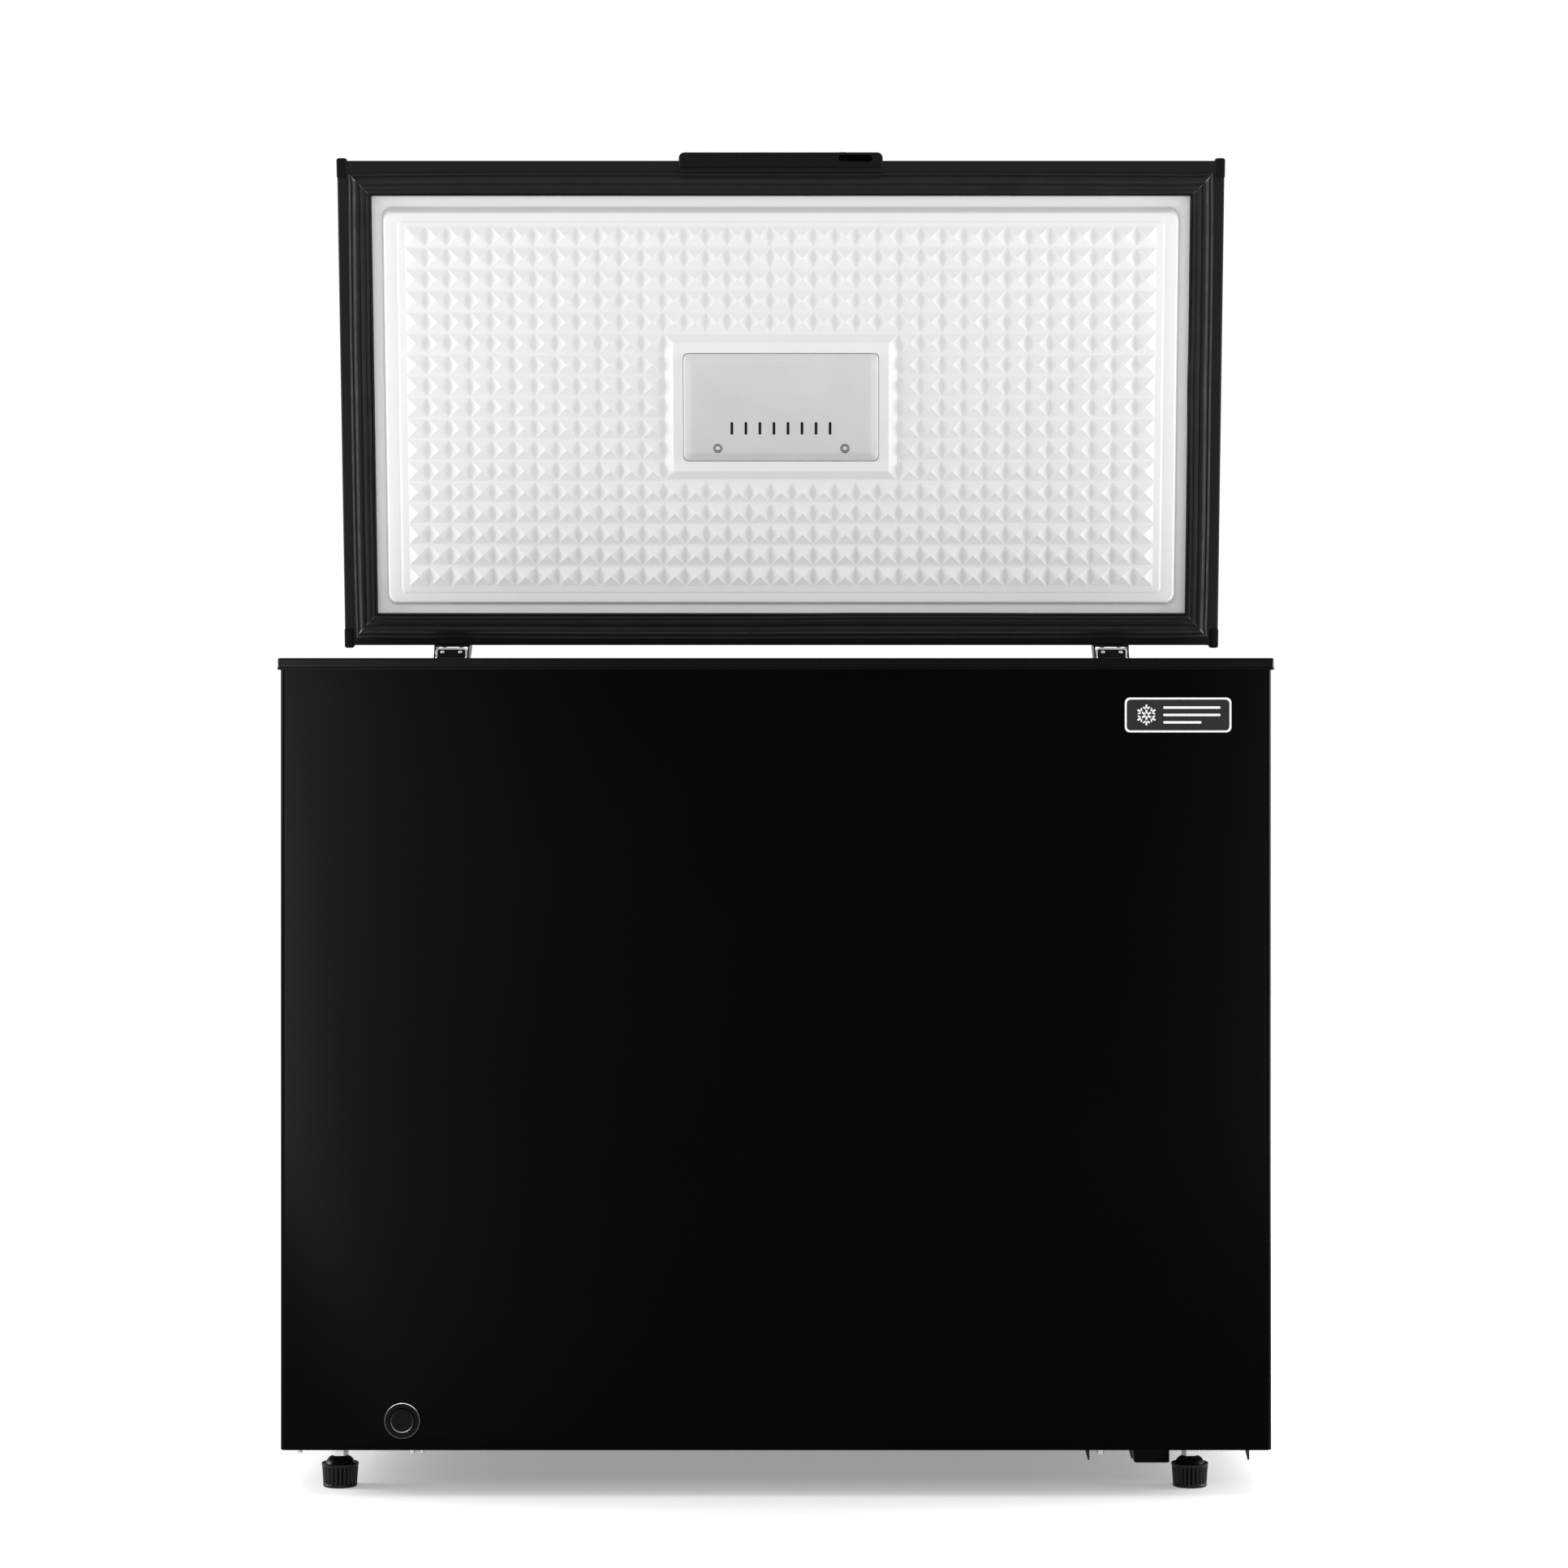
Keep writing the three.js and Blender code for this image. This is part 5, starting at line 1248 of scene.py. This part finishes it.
# ---------------------------------------------------------------- underside
def compressor_tray():
    """The compressor's tray: a plate, three folded rails with pointed tabs, and a stop."""
    tray = layout("compressor_tray")
    plate_low = wrap.z0 + 0.3
    mesh = bmesh.new()
    block(mesh, tray.x0, tray.x1, tray.y0, tray.y1, plate_low, tray.z1)
    front, back, rail_low, tip_low, high = 90, 410, 31, tray.z0 + 2.4, plate_low + 1
    rail = [(front + 8, high), (front + 16, rail_low), (back, rail_low), (back, high)]
    tabs = ((302, 1.2, tip_low), (344, 1.6, tip_low + 1.5), (457, 1.5, tip_low))
    for x, lean, low in tabs:
        skin(mesh, [[(at, y, z) for y, z in rail] for at in (x - 2, x - 0.6)])
        tab = [(x - 5.6 * lean, high), (x + 0.6, high), (x + 1.2, low + 0.3), (x + 0.3, low),
               (x - 0.9, low + 1.6), (x - 2.6, low + 8)]
        skin(mesh, [[(a, y, b) for a, b in tab] for y in (front, front + 1.6)])
        fold = [(front, low), (front + 3, low), (front + 14, rail_low), (front + 14, high),
                (front, high)]
        skin(mesh, [[(at, y, z) for y, z in fold] for at in (x - 0.6, x + 0.6)])
    build("tray_plate", mesh, "tray_steel", "cabinet", ("compressor_tray",), edge=0.25)
    profile = ((1.4, tray.z0), (0.4, tray.z0 + 0.4), (0.0, tray.z0 + 1.4), (0.0, high))
    loops = shrink(346.3, 380.6, 88, 128, [(inset, z, 2.0) for inset, z in profile])
    solid("tray_stop", loops, "black_plastic", "cabinet", sharp=40)


BASE_SCREWS = (  # X, Y, radius
    (-452.7, 16, 2.6), (-346, 14, 3.0), (-337, 16, 2.6), (308, 14, 3.6), (-452.7, 505, 3.0),
    (440, 505, 3.0), (0, 505, 3.0),
)


def base_screws():
    """Screws up into the cabinet's lower edge, their heads standing off on collars."""
    mesh = bmesh.new()
    for x, y, r in BASE_SCREWS:
        skin(mesh, [circle(x, y, z, r * 0.8, 20) for z in (wrap.z0 + 0.5, wrap.z0 - 3.2)])
        screw(mesh, (x, y, wrap.z0 - 3.0), level, radius=r)
    build("base_screws", mesh, "zinc", "cabinet", sharp=30)


# ---------------------------------------------------------------- everything in place
slots = {row["node"]: row["material_slot"] for row in frame["record"]["subparts"]}
LOOK_OF_SLOT = {"compressor_paint": "dark_steel"}
LOOK_OF_NODE = {"lock_cam": "dark_steel"}
for name in sorted(nodes):
    look = LOOK_OF_SLOT.get(slots[name], slots[name])
    soften(name, LOOK_OF_NODE.get(name, look))

rim()
cabinet_skin()
back_beads()
tub()
basket()
lid_pan()
lid_core()
lid_panel()
door_seal()
seal_lip()
seal_welds()
lamp_cover()
corner_caps()
handle()
for side in ("left", "right"):
    hinge_parts(side)
for corner in ("front_left", "front_right", "rear_left", "rear_right"):
    foot(corner)
drain()
badge()
side_grille()
thermostat()
compressor_tray()
base_screws()


# ---------------------------------------------------------------- studio
FLOOR_RADIUS = 30  # metres


def studio_floor():
    """A pale floor, wide enough that its edge is never seen."""
    mesh = bmesh.new()
    ring = [mesh.verts.new((x, y, 0)) for x, y, _ in circle(0, 0, 0, FLOOR_RADIUS, 64)]
    mesh.faces.new(ring)
    data = bpy.data.meshes.new("floor")
    mesh.to_mesh(data)
    mesh.free()
    data.materials.append(LOOKS["studio_floor"])
    floor = bpy.data.objects.new("floor", data)
    bpy.context.scene.collection.objects.link(floor)


def lamp_at(name, place, target, size, power, colour=(1, 1, 1), only=None):
    """A rectangular lamp, unseen itself, that may be kept to some pieces only."""
    data = bpy.data.lights.new(name, "AREA")
    data.shape = "RECTANGLE"
    data.size, data.size_y = size
    data.energy = power
    data.color = colour
    light = bpy.data.objects.new(name, data)
    light.location = place
    light.rotation_euler = (Vector(target) - Vector(place)).to_track_quat("-Z", "Y").to_euler()
    light.visible_camera = False
    if only:
        light.light_linking.receiver_collection = only
    bpy.context.scene.collection.objects.link(light)


def receivers(name, *pieces):
    """A collection of pieces for a lamp that lights nothing else."""
    group = bpy.data.collections.new(name)
    bpy.context.scene.collection.children.link(group)
    for piece in pieces:
        group.objects.link(bpy.data.objects[piece])
    return group


def sky():
    """A white backdrop, whose light is dimmer from the front and brighter from overhead."""
    world = bpy.data.worlds.new("world")
    bpy.context.scene.world = world
    world.use_nodes = True
    tree = world.node_tree
    place = tree.nodes.new("ShaderNodeTexCoord")
    split = tree.nodes.new("ShaderNodeSeparateXYZ")
    tree.links.new(place.outputs["Generated"], split.inputs["Vector"])
    terms = []
    for axis, start, end, low, high in (("Y", -0.6, 0.7, 0.46, 1.06), ("Z", 0.4, 0.95, 0.0, 0.3)):
        shade = tree.nodes.new("ShaderNodeMapRange")
        shade.interpolation_type = "SMOOTHSTEP"
        ends = {"From Min": start, "From Max": end, "To Min": low, "To Max": high}
        for key, value in ends.items():
            shade.inputs[key].default_value = value
        tree.links.new(split.outputs[axis], shade.inputs["Value"])
        terms.append(shade.outputs["Result"])
    total = tree.nodes.new("ShaderNodeMath")
    for term, socket in zip(terms, total.inputs):
        tree.links.new(term, socket)
    path = tree.nodes.new("ShaderNodeLightPath")
    backdrop = tree.nodes.new("ShaderNodeMath")
    backdrop.operation = "MAXIMUM"
    tree.links.new(total.outputs[0], backdrop.inputs[0])
    tree.links.new(path.outputs["Is Camera Ray"], backdrop.inputs[1])
    tree.links.new(backdrop.outputs[0], tree.nodes["Background"].inputs["Strength"])
    tree.nodes["Background"].inputs["Color"].default_value = (1, 1, 1, 1)


studio_floor()
sky()
lamp_at("left_key", (-2.6, -0.05, 1.1), (0, 0.2, 1.0), (1.0, 1.2), 59)
lamp_at("right_key", (2.6, -0.05, 1.0), (0, 0.2, 1.0), (1.0, 1.4), 60)
lamp_at("front", (0, -3.6, 2.0), (0, 0.2, 0.9), (4.0, 1.0), 25)

# Strips of light that only the cabinet's own faces catch, so that their edges read.
faces = receivers("cabinet_faces", "cabinet_skin", "rim_strip_front", "rim_strip_left",
                  "rim_strip_right")
STRIPS = ((-0.7, 0.26, 22), (-0.46, 0.2, 0.8), (0.68, 0.16, 4.6))  # X, width, power
for i, (x, width, power) in enumerate(STRIPS):
    lamp_at(f"strip_{i}", (x, -0.85, 0.42), (0.85 * x, 0, 0.45), (width, 0.95), power,
            (0.9, 0.95, 1.0), faces)
lamp_at("right_edge", (1.3, 0.22, 0.45), (0.47, -0.29, 0.45), (0.8, 1.4), 70, only=faces)
lamp_at("drain_light", (-0.45, -0.9, 1.0), (-0.35, -0.3, 0.07), (2.6, 0.8), 420,
        only=receivers("drain_edges", "drain_ring_edge", "drain_cap_dish"))
lamp_at("lid_low", (-0.12, -0.2, 0.88), (-0.12, 0.26, 0.88), (0.9, 0.05), 0.45,
        only=receivers("lid_panel", "lid_inner_panel"))
bpy.context.scene.view_settings.view_transform = "Standard"
